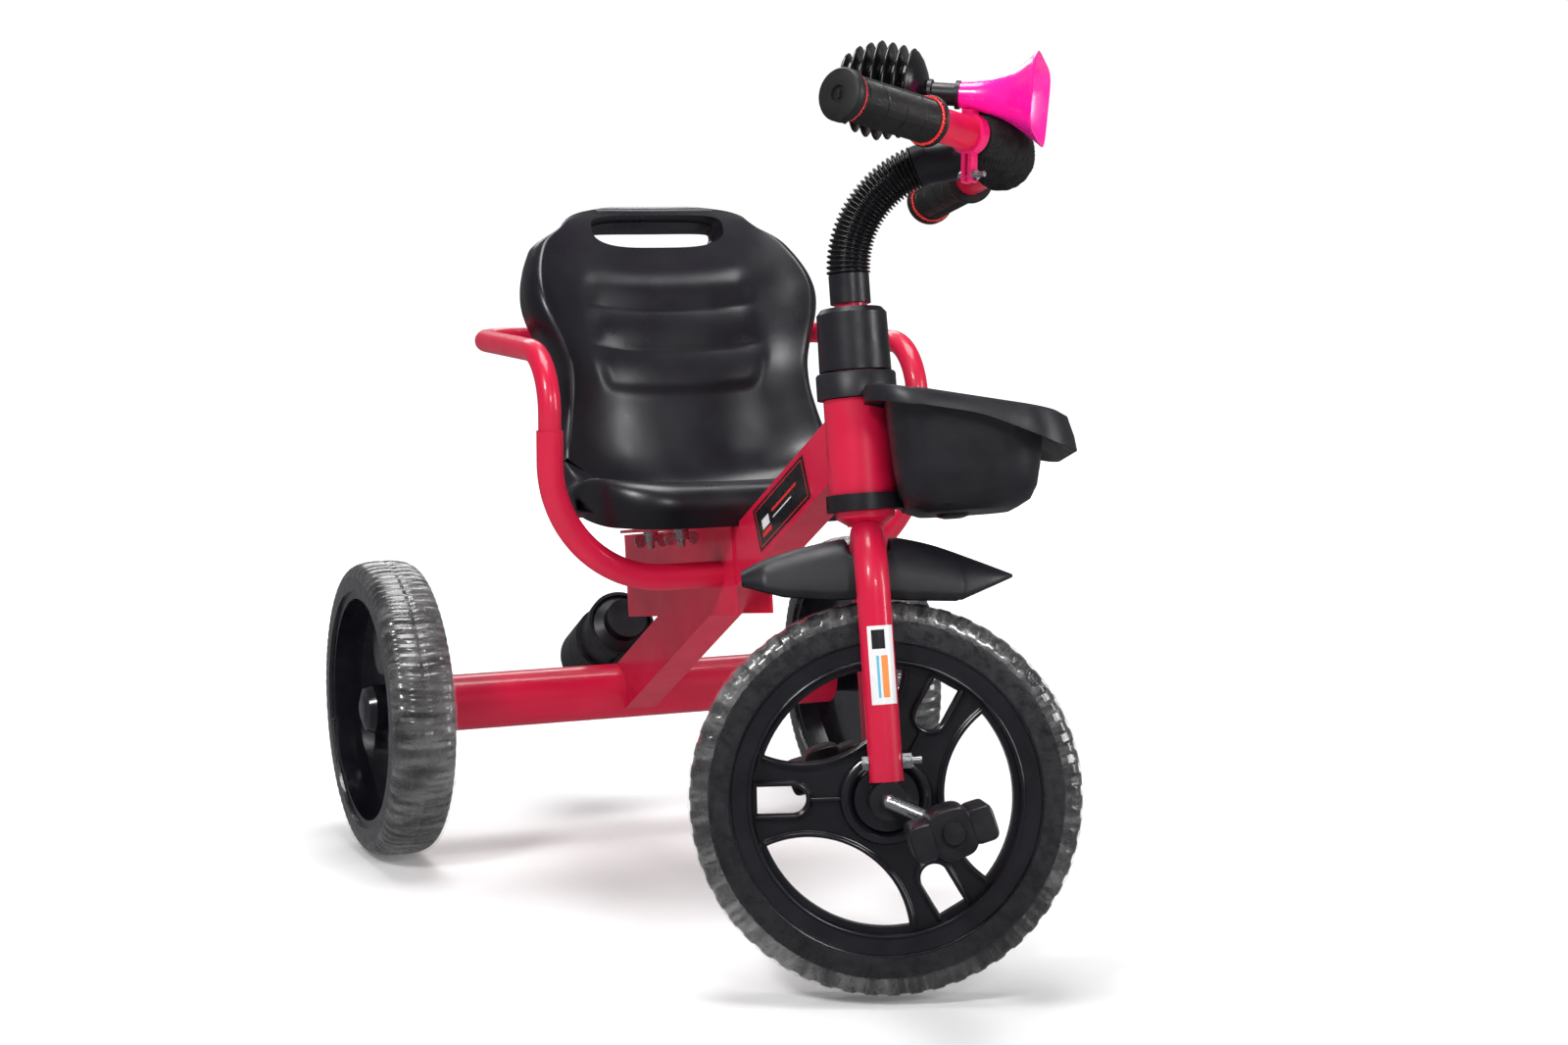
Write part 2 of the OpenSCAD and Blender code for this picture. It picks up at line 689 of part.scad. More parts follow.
module crank_axle() color(steel) steered() rotate([crank_turn, 0, 0]) {
    difference() {
        union() {
            x_cyl(axle_d, -crank_x, crank_x);
            for (side = [-1, 1]) translate([side * crank_x, 0, 0]) {
                sphere(d = axle_d);
                rotate([side < 0 ? 90 : -90, 0, 0]) cylinder(d = axle_d, h = crank_r);
                translate([0, side * crank_r, 0]) {
                    sphere(d = axle_d);
                    x_cyl(axle_d, side > 0 ? 0 : -(pedal_in + pedal_len + 5 - crank_x),
                        side > 0 ? pedal_in + pedal_len + 5 - crank_x : 0);
                }
            }
        }
        rotate([0, 0, 0]) rod(4, -20, 20);
    }
}
module drive_pin() color(steel) steered() rotate([crank_turn, 0, 0]) rod(4, -9, 9);

module pedal(side) {
    color(black) steered() rotate([crank_turn, 0, 0]) translate([0, side * crank_r, 0])
        rotate([-crank_turn - 14, 0, 0]) difference() {
            union() {
                x0 = side > 0 ? pedal_in : -pedal_in - pedal_len;
                x_cyl(33, x0, x0 + pedal_len);
                for (j = [-1, 1]) translate([x0, j * 21 - 10, -12.5]) cube([pedal_len, 20, 25]);
            }
            x_cyl(axle_d + 2 * slip, -200, 200);
        }
}
module pedal_left() pedal(1);
module pedal_right() pedal(-1);
module pedal_clips() color(dark) steered() rotate([crank_turn, 0, 0]) for (side = [-1, 1])
    translate([0, side * crank_r, 0]) mirror([side < 0 ? 1 : 0, 0, 0]) {
        end = pedal_in + pedal_len;
        x_ring(16, axle_d, end + gap, end + 4);
        x_ring(15, axle_d, pedal_in - 2, pedal_in - gap);
    }

// ---------- rear wheels ----------
module rear_rim(side) color(black) rear_frame(side) mirror([side < 0 ? 1 : 0, 0, 0]) difference() {
    union() {
        rotate([0, 90, 0]) rotate_extrude($fn = 96) polygon([[rod_d / 2 + slip, -31], [15, -31], [18, -6],
            [rear_rim_r - 10, -6], [rear_rim_r - 7, -25], [rear_rim_r, -26], [rear_rim_r, 26],
            [rear_rim_r - 8, 25], [rear_rim_r - 10, 0], [17, 0], [15, 8], [rod_d / 2 + slip, 8]]);
        for (a = [90, 210, 330]) rotate([a, 0, 0]) translate([0, 56, 0]) x_cyl(50, -4, 7);
    }
    x_cyl(rod_d + 2 * slip, -40, 40);
}
module rear_rim_left() rear_rim(1);
module rear_rim_right() rear_rim(-1);
module rear_tyre_left() color(dark) rear_frame(1) tyre(rear_r, rear_tyre_w, rear_rim_r);
module rear_tyre_right() color(dark) rear_frame(-1) tyre(rear_r, rear_tyre_w, rear_rim_r);
module hub_cap(side) color(black) rear_frame(side) mirror([side < 0 ? 1 : 0, 0, 0]) difference() {
    rotate([0, 90, 0]) rotate_extrude() polygon([[22, 0], [22, 16], [19, 22], [10, 25], [0, 25.5], [0, 23.5],
        [10, 22.8], [18, 20], [20, 15], [20, 0]]);
}
module hub_cap_left() hub_cap(1);
module hub_cap_right() hub_cap(-1);

// ---------- bottle ----------
module on_bottle() { main_frame() translate([0, bottle_up, 0]) children(); }
module bottle_cage() color(black) main_frame() difference() {
    union() {
        translate([0, bottle_up, 0]) ring(2 * cup_r, 2 * bottle_r, cup_low_end + 3, cup_high_end);
        translate([0, bottle_up, 0]) rod(2 * cup_r, cup_low_end, cup_low_end + 3);
        translate([-8, main_tube_h / 2, -70]) cube([16, bottle_up - cup_r - main_tube_h / 2 + 3, 78]);
        translate([0, bottle_up, 0]) ring(2 * cup_r - 2, 2 * bottle_r, -6, 4);
    }
    translate([0, bottle_up, 0]) rod(2 * bottle_r, cup_low_end + 3, 60);
    x_cyl(axle_tube_d, -50, 50);
}
module bottle() color(dark) on_bottle() {
    rod(2 * bottle_r, cup_low_end + 3, 0);
    cylinder(r1 = bottle_r, r2 = 17, h = 8);
}
module bottle_cap() color(black) on_bottle() {
    rod(38, 8, 20);
}

// ---------- parts ----------
axle_tube();
main_tube();
head_tube();
seat_bracket();
armrest_arm_left();
armrest_arm_right();
armrest_hoop();
seat_shell();
seat_bolts();
wing_nuts();
headset_cup();
headset_bush();
rear_axle_rod();
axle_bushes();
axle_washers();
axle_nuts();
bottle_cage();
bottle();
bottle_cap();
fork();
fork_blade_bushes();
clamp_bolts();
clamp_nuts();
fender();
fender_screw();
column_sleeve();
stem();
stem_clamp();
stem_cap();
hose_cuff_lower();
bellows_hose();
hose_cuff_upper();
handlebar();
foam_pad();
grip_left();
grip_right();
grip_rings();
horn_bell();
horn_neck();
horn_bellows();
horn_end_disc();
horn_clamp();
horn_screw();
basket();
front_rim();
front_tyre();
hub_rings();
crank_axle();
drive_pin();
pedal_left();
pedal_right();
pedal_clips();
rear_rim_left();
rear_rim_right();
rear_tyre_left();
rear_tyre_right();
hub_cap_left();
hub_cap_right();
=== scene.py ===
"""Children's tricycle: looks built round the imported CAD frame, in its axes."""
import math

import bmesh
import bpy
import numpy as np
from mathutils import Matrix, Vector


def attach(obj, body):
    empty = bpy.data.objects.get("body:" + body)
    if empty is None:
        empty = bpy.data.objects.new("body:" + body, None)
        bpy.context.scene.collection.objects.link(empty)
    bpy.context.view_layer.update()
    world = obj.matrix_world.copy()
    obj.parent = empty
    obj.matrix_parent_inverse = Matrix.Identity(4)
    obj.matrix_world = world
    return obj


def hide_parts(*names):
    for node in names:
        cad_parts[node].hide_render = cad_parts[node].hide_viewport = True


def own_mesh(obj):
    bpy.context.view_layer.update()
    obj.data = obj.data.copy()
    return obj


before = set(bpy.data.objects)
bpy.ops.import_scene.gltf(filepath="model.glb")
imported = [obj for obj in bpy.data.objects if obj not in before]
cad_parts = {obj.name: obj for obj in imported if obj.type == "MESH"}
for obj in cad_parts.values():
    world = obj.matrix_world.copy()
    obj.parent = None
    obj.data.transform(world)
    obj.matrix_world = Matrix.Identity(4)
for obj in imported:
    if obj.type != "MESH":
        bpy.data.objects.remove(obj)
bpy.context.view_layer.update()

MM = 0.001
FULL_TURN = 2 * np.pi


# ---------- places, in millimetres ----------
def move(x, y, z):
    return Matrix.Translation((x, y, z))


def turn(degrees, axis):
    return Matrix.Rotation(math.radians(degrees), 4, axis)


HEAD_TILT, STEER_ANGLE, STEM_TWIST = 10.5, 68, 12.5
WHEELBASE, FRONT_R, REAR_R, REAR_X = 560, 150, 135, 234
FRONT_TYRE, REAR_TYRE = (147.8, 51, 118), (133, 57, 107)      # radius, width and radius of the seat
SWEEP, BAR_R, BAR_HALF_WIDTH, GRIP_LENGTH = 28, 118, 195, 100
BAR_REACH, BAR_HEIGHT, BAR_ROLL, BAR_PITCH = 124, 478.4, 3, 5
HOSE_BEND_START, HOSE_BEND_R, HOSE_ANGLE = 396, 80, 74
HORN_X, HORN_UP, HORN_PITCH = -60, 28.5, 94.5
WHEEL_TURN, CRANK_TURN, CRANK_R, PEDAL_TILT = 57.5, 27, 45, 41
TUBE_SLOPE, SEAT_LEAN = 29.14, 20
ARM_X = BAR_R * math.sin(math.radians(SWEEP))
ARM_Y = BAR_R * (1 - math.cos(math.radians(SWEEP)))
ARM_LEN = (BAR_HALF_WIDTH - ARM_X) / math.cos(math.radians(SWEEP))

ROOT = Matrix.Identity(4)
STEER = move(0, -WHEELBASE, FRONT_R) @ turn(-HEAD_TILT, "X") @ turn(STEER_ANGLE, "Z")
STEM = STEER @ turn(-STEM_TWIST, "Z")
BAR = STEM @ move(0, -BAR_REACH, BAR_HEIGHT) @ turn(BAR_ROLL, "Y") @ turn(BAR_PITCH, "X")
HORN_Y = ARM_Y + (abs(HORN_X) - ARM_X) * math.tan(math.radians(SWEEP))
HORN = BAR @ move(HORN_X, HORN_Y, HORN_UP) @ turn(HORN_PITCH, "X")
AXLE = STEER @ turn(90, "Y")
WHEEL = STEER @ turn(-WHEEL_TURN, "X") @ turn(90, "Y")
MAIN = move(0, 0, REAR_R) @ turn(90 - TUBE_SLOPE, "X")
BACK = move(0, -66, 563) @ turn(90 - SEAT_LEAN, "X")      # y up the seat's back, z out of its face
SIDES = ((1, "left"), (-1, "right"))


def mirror(side):
    """The rider's left as it is, and the right as its mirror image."""
    return Matrix.Scale(-1, 4, (1, 0, 0)) if side < 0 else Matrix.Identity(4)


def arm(side):
    return BAR @ mirror(side) @ move(ARM_X, ARM_Y, 0) @ turn(SWEEP, "Z") @ turn(90, "Y")


def rear(side):
    return mirror(side) @ move(REAR_X, 0, REAR_R) @ turn(90, "Y")


# ---------- meshes ----------
def placed_mesh(name, verts, faces, place):
    """A mesh in metres from millimetre points in a placed frame, its faces turned outwards."""
    mesh = bpy.data.meshes.new(name)
    mesh.from_pydata([tuple(v) for v in verts], [], faces)
    mesh.transform(Matrix.Scale(MM, 4) @ place)
    bm = bmesh.new()
    bm.from_mesh(mesh)
    bmesh.ops.recalc_face_normals(bm, faces=bm.faces)
    bm.to_mesh(mesh)
    bm.free()
    mesh.update()
    return mesh


def shade(mesh, angle):
    mesh.shade_smooth()
    mesh.set_sharp_from_angle(angle=math.radians(angle))


def put(name, data):
    """A new object of the scene."""
    obj = bpy.data.objects.new(name, data)
    bpy.context.scene.collection.objects.link(obj)
    return obj


def piece(name, verts, faces, place, body, material, stands_for=(), slot=None, smooth=40):
    """A visible piece from millimetre points in a placed frame, riding on a body."""
    mesh = placed_mesh(name, verts, faces, place)
    shade(mesh, smooth)
    obj = put(name, mesh)
    mesh.materials.append(material)
    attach(obj, body)
    if stands_for:
        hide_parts(*stands_for)
    return obj


def circle(n):
    return np.linspace(0, FULL_TURN, n, endpoint=False)


def signed_power(x, power):
    """The power of the size of x, with the sign of x."""
    return np.sign(x) * abs(x) ** power


def polar(radius, angle, height):
    """Points of a surface round z."""
    return np.stack([radius * np.cos(angle), radius * np.sin(angle),
                     np.broadcast_to(height, np.broadcast(radius, angle, height).shape)], -1)


def skin(points, wrap_u=False, wrap_v=True, caps=False):
    """Points of shape (n, m, 3) as quads, with the ends closed when asked."""
    n, m = points.shape[:2]
    verts = points.reshape(-1, 3)
    faces = []
    for i in range(n if wrap_u else n - 1):
        for j in range(m if wrap_v else m - 1):
            a, b = i * m, ((i + 1) % n) * m
            k = (j + 1) % m
            faces.append((a + j, a + k, b + k, b + j))
    if caps:
        faces += [tuple(range(m))[::-1], tuple(range((n - 1) * m, n * m))]
    return verts, faces


def join(*parts):
    """Several (points, faces) as one."""
    verts, faces, base = [], [], 0
    for v, f in parts:
        verts.append(np.asarray(v, float).reshape(-1, 3))
        faces += [tuple(i + base for i in face) for face in f]
        base += len(verts[-1])
    return np.concatenate(verts), faces


def lathe(profile, n=96, closed=True):
    """(radius, height) points turned round z."""
    p = np.array(profile, float)
    return skin(polar(p[:, :1], circle(n), p[:, 1:2]), wrap_u=closed, caps=not closed)


def frames_along(path):
    """The path, with two directions square to it and to each other at each of its points."""
    path = np.asarray(path, float)
    t = np.gradient(path, axis=0)
    t /= np.linalg.norm(t, axis=1)[:, None]
    ref = np.array([1.0, 0, 0]) if abs(t[0][0]) < 0.9 else np.array([0, 0, 1.0])
    ns, bs = [], []
    n = ref - t[0] * ref.dot(t[0])
    for k in t:
        n = n - k * n.dot(k)
        n /= np.linalg.norm(n)
        ns.append(n)
        bs.append(np.cross(k, n))
    return path, np.array(ns), np.array(bs)


def sweep(path, radius, n=24, closed=False):
    """A round bar along a path; radius is a number or one per point (or per point and side)."""
    path, ns, bs = frames_along(path)
    a = circle(n)
    r = np.asarray(radius, float).reshape(-1, 1) if np.ndim(radius) < 2 else radius
    r = np.broadcast_to(r, (len(path), n))
    pts = path[:, None] + r[..., None] * (np.cos(a)[None, :, None] * ns[:, None]
                                          + np.sin(a)[None, :, None] * bs[:, None])
    return skin(pts, wrap_u=closed, caps=not closed)


def ribbon(outline, z0, z1, width, closed=False):
    """A raised rib of rectangular section along a flat outline, its width to the left of travel."""
    p = np.asarray(outline, float)
    t = np.gradient(p, axis=0) if not closed else np.roll(p, -1, 0) - np.roll(p, 1, 0)
    t /= np.linalg.norm(t, axis=1)[:, None]
    side = np.stack([-t[:, 1], t[:, 0]], -1) * width
    ring = []
    soft = 0.6 * np.sign(z1 - z0)
    for f, z in ((0, z0), (0, z1 - soft), (0.2, z1), (0.8, z1), (1, z1 - soft), (1, z0)):
        q = p + side * f
        ring.append(np.concatenate([q, np.full((len(q), 1), z)], 1))
    return skin(np.stack(ring, 1), wrap_u=closed, caps=not closed)


def smoothstep(a, b, x):
    t = np.clip((np.asarray(x, float) - a) / (b - a), 0, 1)
    return t * t * (3 - 2 * t)


def spline(points, n):
    """A smooth curve through points (Catmull-Rom), n points long, evenly spaced."""
    p = np.asarray(points, float)
    q = np.concatenate([[2 * p[0] - p[1]], p, [2 * p[-1] - p[-2]]])
    out = []
    for i in range(1, len(q) - 2):
        for t in np.linspace(0, 1, 24, endpoint=False):
            a, b, c, d = q[i - 1:i + 3]
            out.append(0.5 * (2 * b + (c - a) * t + (2 * a - 5 * b + 4 * c - d) * t * t
                              + (3 * b - a - 3 * c + d) * t ** 3))
    out.append(p[-1])
    out = np.array(out)
    s = np.concatenate([[0], np.cumsum(np.linalg.norm(np.diff(out, axis=0), axis=1))])
    at = np.linspace(0, s[-1], n)
    return np.stack([np.interp(at, s, out[:, k]) for k in range(out.shape[1])], -1)


# ---------- materials ----------
def material(name, color, rough=0.4, color_var=0.15, var_scale=25, rough_var=0.12, bump=0.2,
             bump_scale=900, bump_height=0.05, metallic=0.0, coat=0.0, coat_rough=0.1, specular=0.5,
             scuff=0.0, scuff_color=None, stretch=(1, 1, 1), alpha=None):
    """A procedural material: blotchy colour, uneven roughness, a fine grain and scuffed edges."""
    mat = bpy.data.materials.new(name)
    mat.use_nodes = True
    nt = mat.node_tree
    bsdf = nt.nodes["Principled BSDF"]
    new, link = nt.nodes.new, nt.links.new
    coords = new("ShaderNodeTexCoord")
    mapping = new("ShaderNodeMapping")
    mapping.inputs["Scale"].default_value = stretch
    link(coords.outputs["Object"], mapping.inputs["Vector"])

    def noise(scale, detail=4, rough=0.55):
        n = new("ShaderNodeTexNoise")
        n.inputs["Scale"].default_value = scale
        n.inputs["Detail"].default_value = detail
        n.inputs["Roughness"].default_value = rough
        link(mapping.outputs[0], n.inputs["Vector"])
        return n.outputs["Fac"]

    def remap(socket, lo, hi, a=0.3, b=0.7):
        r = new("ShaderNodeMapRange")
        r.inputs["From Min"].default_value, r.inputs["From Max"].default_value = a, b
        r.inputs["To Min"].default_value, r.inputs["To Max"].default_value = lo, hi
        link(socket, r.inputs["Value"])
        return r.outputs[0]

    def mix(fac, a, b):
        m = new("ShaderNodeMix")
        m.data_type = "RGBA"
        for socket, value in ((m.inputs[0], fac), (m.inputs[6], a), (m.inputs[7], b)):
            if hasattr(value, "is_output"):
                link(value, socket)
            else:
                socket.default_value = (*value, 1) if hasattr(value, "__len__") else value
        return m.outputs[2]

    dark = [c * (1 - color_var) for c in color]
    light = [min(1, c * (1 + color_var) + 0.004 * color_var) for c in color]
    tone = mix(remap(noise(var_scale), 0, 1), dark, light)
    roughness = remap(noise(var_scale * 2.3, 6), rough - rough_var, rough + rough_var)
    if scuff:
        geometry = new("ShaderNodeNewGeometry")
        edge = remap(geometry.outputs["Pointiness"], 0, 1, 0.53, 0.62)
        patch = remap(noise(180, 6, 0.7), 0, 1, 0.5, 0.66)
        worn = new("ShaderNodeMath")
        worn.operation = "MULTIPLY"
        link(edge, worn.inputs[0])
        link(patch, worn.inputs[1])
        amount = new("ShaderNodeMath")
        amount.operation = "MULTIPLY"
        link(worn.outputs[0], amount.inputs[0])
        amount.inputs[1].default_value = scuff
        tone = mix(amount.outputs[0], tone, scuff_color or [min(1, c * 2.5 + 0.06) for c in color])
    link(tone, bsdf.inputs["Base Color"])
    link(roughness, bsdf.inputs["Roughness"])
    grain = new("ShaderNodeBump")
    grain.inputs["Strength"].default_value = bump
    grain.inputs["Distance"].default_value = bump_height * MM
    link(noise(bump_scale, 3), grain.inputs["Height"])
    link(grain.outputs[0], bsdf.inputs["Normal"])
    bsdf.inputs["Metallic"].default_value = metallic
    bsdf.inputs["Specular IOR Level"].default_value = specular
    bsdf.inputs["Coat Weight"].default_value = coat
    bsdf.inputs["Coat Roughness"].default_value = coat_rough
    if alpha:
        cover = new("ShaderNodeAttribute")
        cover.attribute_name = alpha
        link(cover.outputs["Fac"], bsdf.inputs["Alpha"])
    return mat


RED = material("red_paint", (0.52, 0.006, 0.040), rough=0.36, rough_var=0.08, color_var=0.06,
               var_scale=14, bump=0.22, bump_scale=170, bump_height=0.16, coat=0.35, coat_rough=0.07,
               specular=0.3)
BLACK = material("black_plastic", (0.008, 0.007, 0.010), rough=0.36, rough_var=0.1, color_var=0.3,
                 bump=0.3, bump_scale=900, bump_height=0.08, specular=0.36)
SEAT = material("seat_plastic", (0.0070, 0.0060, 0.0095), rough=0.33, rough_var=0.08, color_var=0.35,
                var_scale=9, bump=0.35, bump_scale=1400, bump_height=0.1, specular=0.42)
BASKET = material("basket_plastic", (0.0090, 0.008, 0.0115), rough=0.42, rough_var=0.08, color_var=0.3,
                  bump=0.5, bump_scale=1700, bump_height=0.12, specular=0.4, scuff=0.4,
                  scuff_color=(0.035, 0.035, 0.037))
GLOSS = material("wheel_plastic", (0.0060, 0.0060, 0.0095), rough=0.2, rough_var=0.08, color_var=0.3,
                 bump=0.25, bump_scale=260, bump_height=0.12, coat=0.35, coat_rough=0.08, specular=0.5)
TYRE = material("tyre_rubber", (0.0065, 0.0062, 0.0085), rough=0.3, rough_var=0.14, color_var=0.5,
                var_scale=60, bump=0.5, bump_scale=300, bump_height=0.5, coat=0.8, coat_rough=0.1,
                specular=0.5)
# whitish film, seen only where the wrap attribute makes it opaque: a faint cloudiness, painted glints and
# painted sheen
FILM = material("clear_film", (0.70, 0.69, 0.68), rough=0.14, rough_var=0.08, color_var=0.2, var_scale=90,
                bump=0.8, bump_scale=150, bump_height=0.9, coat=1.0, coat_rough=0.04, specular=1.0,
                alpha="wrap")
HOSE = material("hose_plastic", (0.006, 0.006, 0.007), rough=0.24, rough_var=0.08, color_var=0.3,
                bump=0.2, bump_scale=500, bump_height=0.06, specular=0.4)
FOAM = material("foam_net", (0.010, 0.0095, 0.0095), rough=0.75, rough_var=0.08, color_var=0.4,
                var_scale=120, bump=0.8, bump_scale=1200, bump_height=0.3, specular=0.3, scuff=0.6,
                scuff_color=(0.07, 0.065, 0.06))
GRIP = material("grip_rubber", (0.0085, 0.0085, 0.009), rough=0.46, rough_var=0.12, color_var=0.3,
                bump=0.4, bump_scale=1500, bump_height=0.1, specular=0.4, scuff=0.5,
                scuff_color=(0.04, 0.04, 0.04))
HORN_PINK = material("horn_pink", (0.92, 0.006, 0.33), rough=0.25, rough_var=0.06, color_var=0.06,
                     bump=0.12, bump_scale=90, bump_height=0.2, coat=0.5, coat_rough=0.08)
HORN_CLAMP = material("horn_clamp_red", (0.72, 0.008, 0.13), rough=0.26, rough_var=0.06, color_var=0.06,
                      bump=0.15, bump_scale=120, bump_height=0.15, coat=0.5)
RING_RED = material("ring_red", (0.62, 0.02, 0.02), rough=0.36, color_var=0.12, bump=0.2, bump_scale=700)
STEEL = material("zinc_steel", (0.62, 0.63, 0.65), rough=0.3, rough_var=0.12, color_var=0.14, var_scale=160,
                 bump=0.35, bump_scale=700, bump_height=0.06, metallic=1.0, stretch=(1, 1, 5))
STICKER_WHITE = material("sticker_white", (0.72, 0.71, 0.72), rough=0.3, rough_var=0.06,
                         color_var=0.03, coat=0.3, bump=0.1)
STICKER_BLACK = material("sticker_black", (0.01, 0.01, 0.012), rough=0.28, rough_var=0.06,
                         color_var=0.2, coat=0.4, bump=0.1)
STICKER_BLUE = material("sticker_blue", (0.10, 0.45, 0.62), rough=0.3, rough_var=0.05,
                        color_var=0.05, bump=0.1)
STICKER_ORANGE = material("sticker_orange", (0.75, 0.25, 0.06), rough=0.3, rough_var=0.05,
                          color_var=0.05, bump=0.1)

NODE_LOOKS = {
    RED: "axle_tube main_tube head_tube seat_bracket armrest_arm_left armrest_arm_right armrest_hoop fork "
         "column_sleeve stem handlebar",
    STEEL: "seat_bolts wing_nuts rear_axle_rod axle_washers axle_nuts clamp_bolts clamp_nuts fender_screw "
           "stem_clamp horn_screw crank_axle drive_pin",
    BLACK: "headset_cup headset_bush axle_bushes bottle_cage bottle bottle_cap fork_blade_bushes stem_cap "
           "hose_cuff_lower hose_cuff_upper horn_neck horn_end_disc fender seat_shell basket "
           "pedal_left pedal_right pedal_clips",
    GLOSS: "front_rim hub_rings rear_rim_left rear_rim_right hub_cap_left hub_cap_right",
    TYRE: "front_tyre rear_tyre_left rear_tyre_right",
    HOSE: "bellows_hose horn_bellows",
    FOAM: "foam_pad",
    GRIP: "grip_left grip_right",
    RING_RED: "grip_rings",
    HORN_PINK: "horn_bell",
    HORN_CLAMP: "horn_clamp",
}
for look, names in NODE_LOOKS.items():
    for node in names.split():
        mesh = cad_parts[node].data
        mesh.materials.clear()
        mesh.materials.append(look)


# ---------- seat: one bucket swept along its middle line ----------
def seat_shell():
    # the middle line in (y, z), from the top of the back down, and out along the pan to the lip
    line = spline([(-62, 583), (-71, 566), (-91, 520), (-113, 465), (-131, 408), (-143, 366), (-156, 344),
                   (-176, 334), (-212, 337), (-246, 345), (-268, 355), (-286, 362), (-300, 358), (-307, 344),
                   (-303, 326)], 170)
    t = np.gradient(line, axis=0)
    t /= np.linalg.norm(t, axis=1)[:, None]
    normal = np.stack([t[:, 1], -t[:, 0]], -1)        # out of the face the child touches
    s = np.concatenate([[0], np.cumsum(np.linalg.norm(np.diff(line, axis=0), axis=1))])
    total = s[-1]

    def along(*pairs):
        value = np.interp(s, *zip(*pairs))
        return np.convolve(np.pad(value, 7, "edge"), np.ones(15) / 15, "valid")

    half = along((0, 84), (8, 98), (17, 108), (38, 123), (58, 131), (80, 137), (100, 136), (124, 127),
                 (142, 118), (165, 116), (188, 120), (214, 127), (246, 135), (285, 138), (380, 136),
                 (total, 126))
    crest = along((0, 0), (30, 4), (60, 16), (90, 26), (130, 27), (185, 23), (225, 30), (256, 42), (284, 42),
                  (315, 30), (345, 16), (375, 5), (total, 0))
    power = along((0, 5), (150, 3.6), (230, 2.8), (300, 2.4), (total, 2.2))
    hollow = along((0, 2), (60, 7), (150, 10), (220, 6), (300, 2), (total, 0))
    u = np.sin(np.linspace(-1, 1, 121) * np.pi / 2 * 0.995)
    front_corner, top_corner = 66, 46
    front, back = [], []
    for k in range(len(line)):
        w, b = half[k], crest[k]
        x = u * w
        rise = b * np.minimum(abs(u) / 0.92, 1) ** power[k] + hollow[k] * u * u
        edge = np.clip((abs(u) - 0.90) / 0.10, 0, 1)
        drop = (17 + 0.25 * b) * (1 - np.sqrt(np.clip(1 - edge ** 2, 0, 1)))
        # a raised pad of three soft pillows in the small of the back
        at = s[k] + 4.0 * (x / 80) ** 2
        side = 1 - smoothstep(66, 86, abs(x) + 14 * smoothstep(140, 176, s[k]) * (abs(x) / 80) ** 4)
        plateau = smoothstep(54, 80, at) * (1 - smoothstep(164, 179, at)) * side
        pillow = sum(((at > p) & (at < q))
                     * np.abs(np.sin(np.pi * np.clip((at - p) / (q - p), 0, 1))) ** 0.8
                     for p, q in ((60, 97), (97, 135), (135, 178)))
        d = rise - drop + plateau * (1.2 + 2.8 * pillow)
        base, n = line[k], normal[k]
        # the front corners are round in plan
        q = np.clip((abs(x) - w + front_corner) / front_corner, 0, 1)
        tuck = front_corner * (1 - np.sqrt(1 - 0.98 * q * q)) * smoothstep(290, 372, s[k])
        # and the top corners are round in the plane of the back
        q = np.clip((abs(x) - w + top_corner) / top_corner, 0, 1)
        dip = 22 * (1 - np.sqrt(1 - 0.98 * q * q)) * (1 - smoothstep(0, 40, s[k]))
        front.append(np.stack([x, base[0] + n[0] * d + tuck + t[k, 0] * dip,
                               base[1] + n[1] * d + t[k, 1] * dip], -1))
        thick = 26 - 4 * smoothstep(0, 60, s[k]) + 8 * smoothstep(330, 400, s[k])
        under = rise * (1 - 0.75 * smoothstep(0.7, 1, abs(u))) - thick + 3 * smoothstep(0.85, 1, abs(u))
        back.append(np.stack([x * 0.985, base[0] + n[0] * under + tuck + t[k, 0] * dip,
                              base[1] + n[1] * under + t[k, 1] * dip], -1))
    # the top edge rolls over to the back
    front, back = np.array(front), np.array(back)
    roll = []
    for q in np.linspace(0.12, 0.88, 9):
        mid = front[0] * (1 - q) + back[0] * q
        lift = 7.5 * math.sin(math.pi * q) * np.sqrt(np.clip(1 - np.abs(u) ** 4, 0, 1))[:, None]
        mid[:, 0] *= 1 - 0.24 * math.sin(math.pi * q)
        roll.append(mid + np.array([0, 0.34, 0.94]) * lift)
    ring = np.concatenate([front, back[:, ::-1]], 1)
    m = len(u)
    v, f = skin(ring)
    v = list(v) + [p for row in roll for p in row]
    n0 = ring.shape[0] * ring.shape[1]
    rows = [list(range(m)), *([n0 + i * m + j for j in range(m)] for i in range(len(roll))),
            list(range(2 * m - 1, m - 1, -1))]
    for a_row, b_row in zip(rows[:-1], rows[1:]):
        f += [(a_row[j], b_row[j], b_row[j + 1], a_row[j + 1]) for j in range(m - 1)]
    for end in (0, m - 1):
        f.append(tuple(r[end] for r in rows))
    last = (ring.shape[0] - 1) * ring.shape[1]
    f.append(tuple(range(last, last + 2 * m)))
    return np.array(v), f


seat = piece("seat_moulding", *seat_shell(), ROOT, "frame", SEAT, ["seat_shell"], "black_plastic", smooth=60)


def cut(obj, cutter):
    """Takes the cutter out of obj, for good."""
    mod = obj.modifiers.new("cut", "BOOLEAN")
    mod.operation, mod.object, mod.solver = "DIFFERENCE", cutter, "EXACT"
    dg = bpy.context.evaluated_depsgraph_get()
    mesh = bpy.data.meshes.new_from_object(obj.evaluated_get(dg))
    obj.modifiers.remove(mod)
    obj.data = mesh
    shade(mesh, 50)
    bpy.data.objects.remove(cutter)


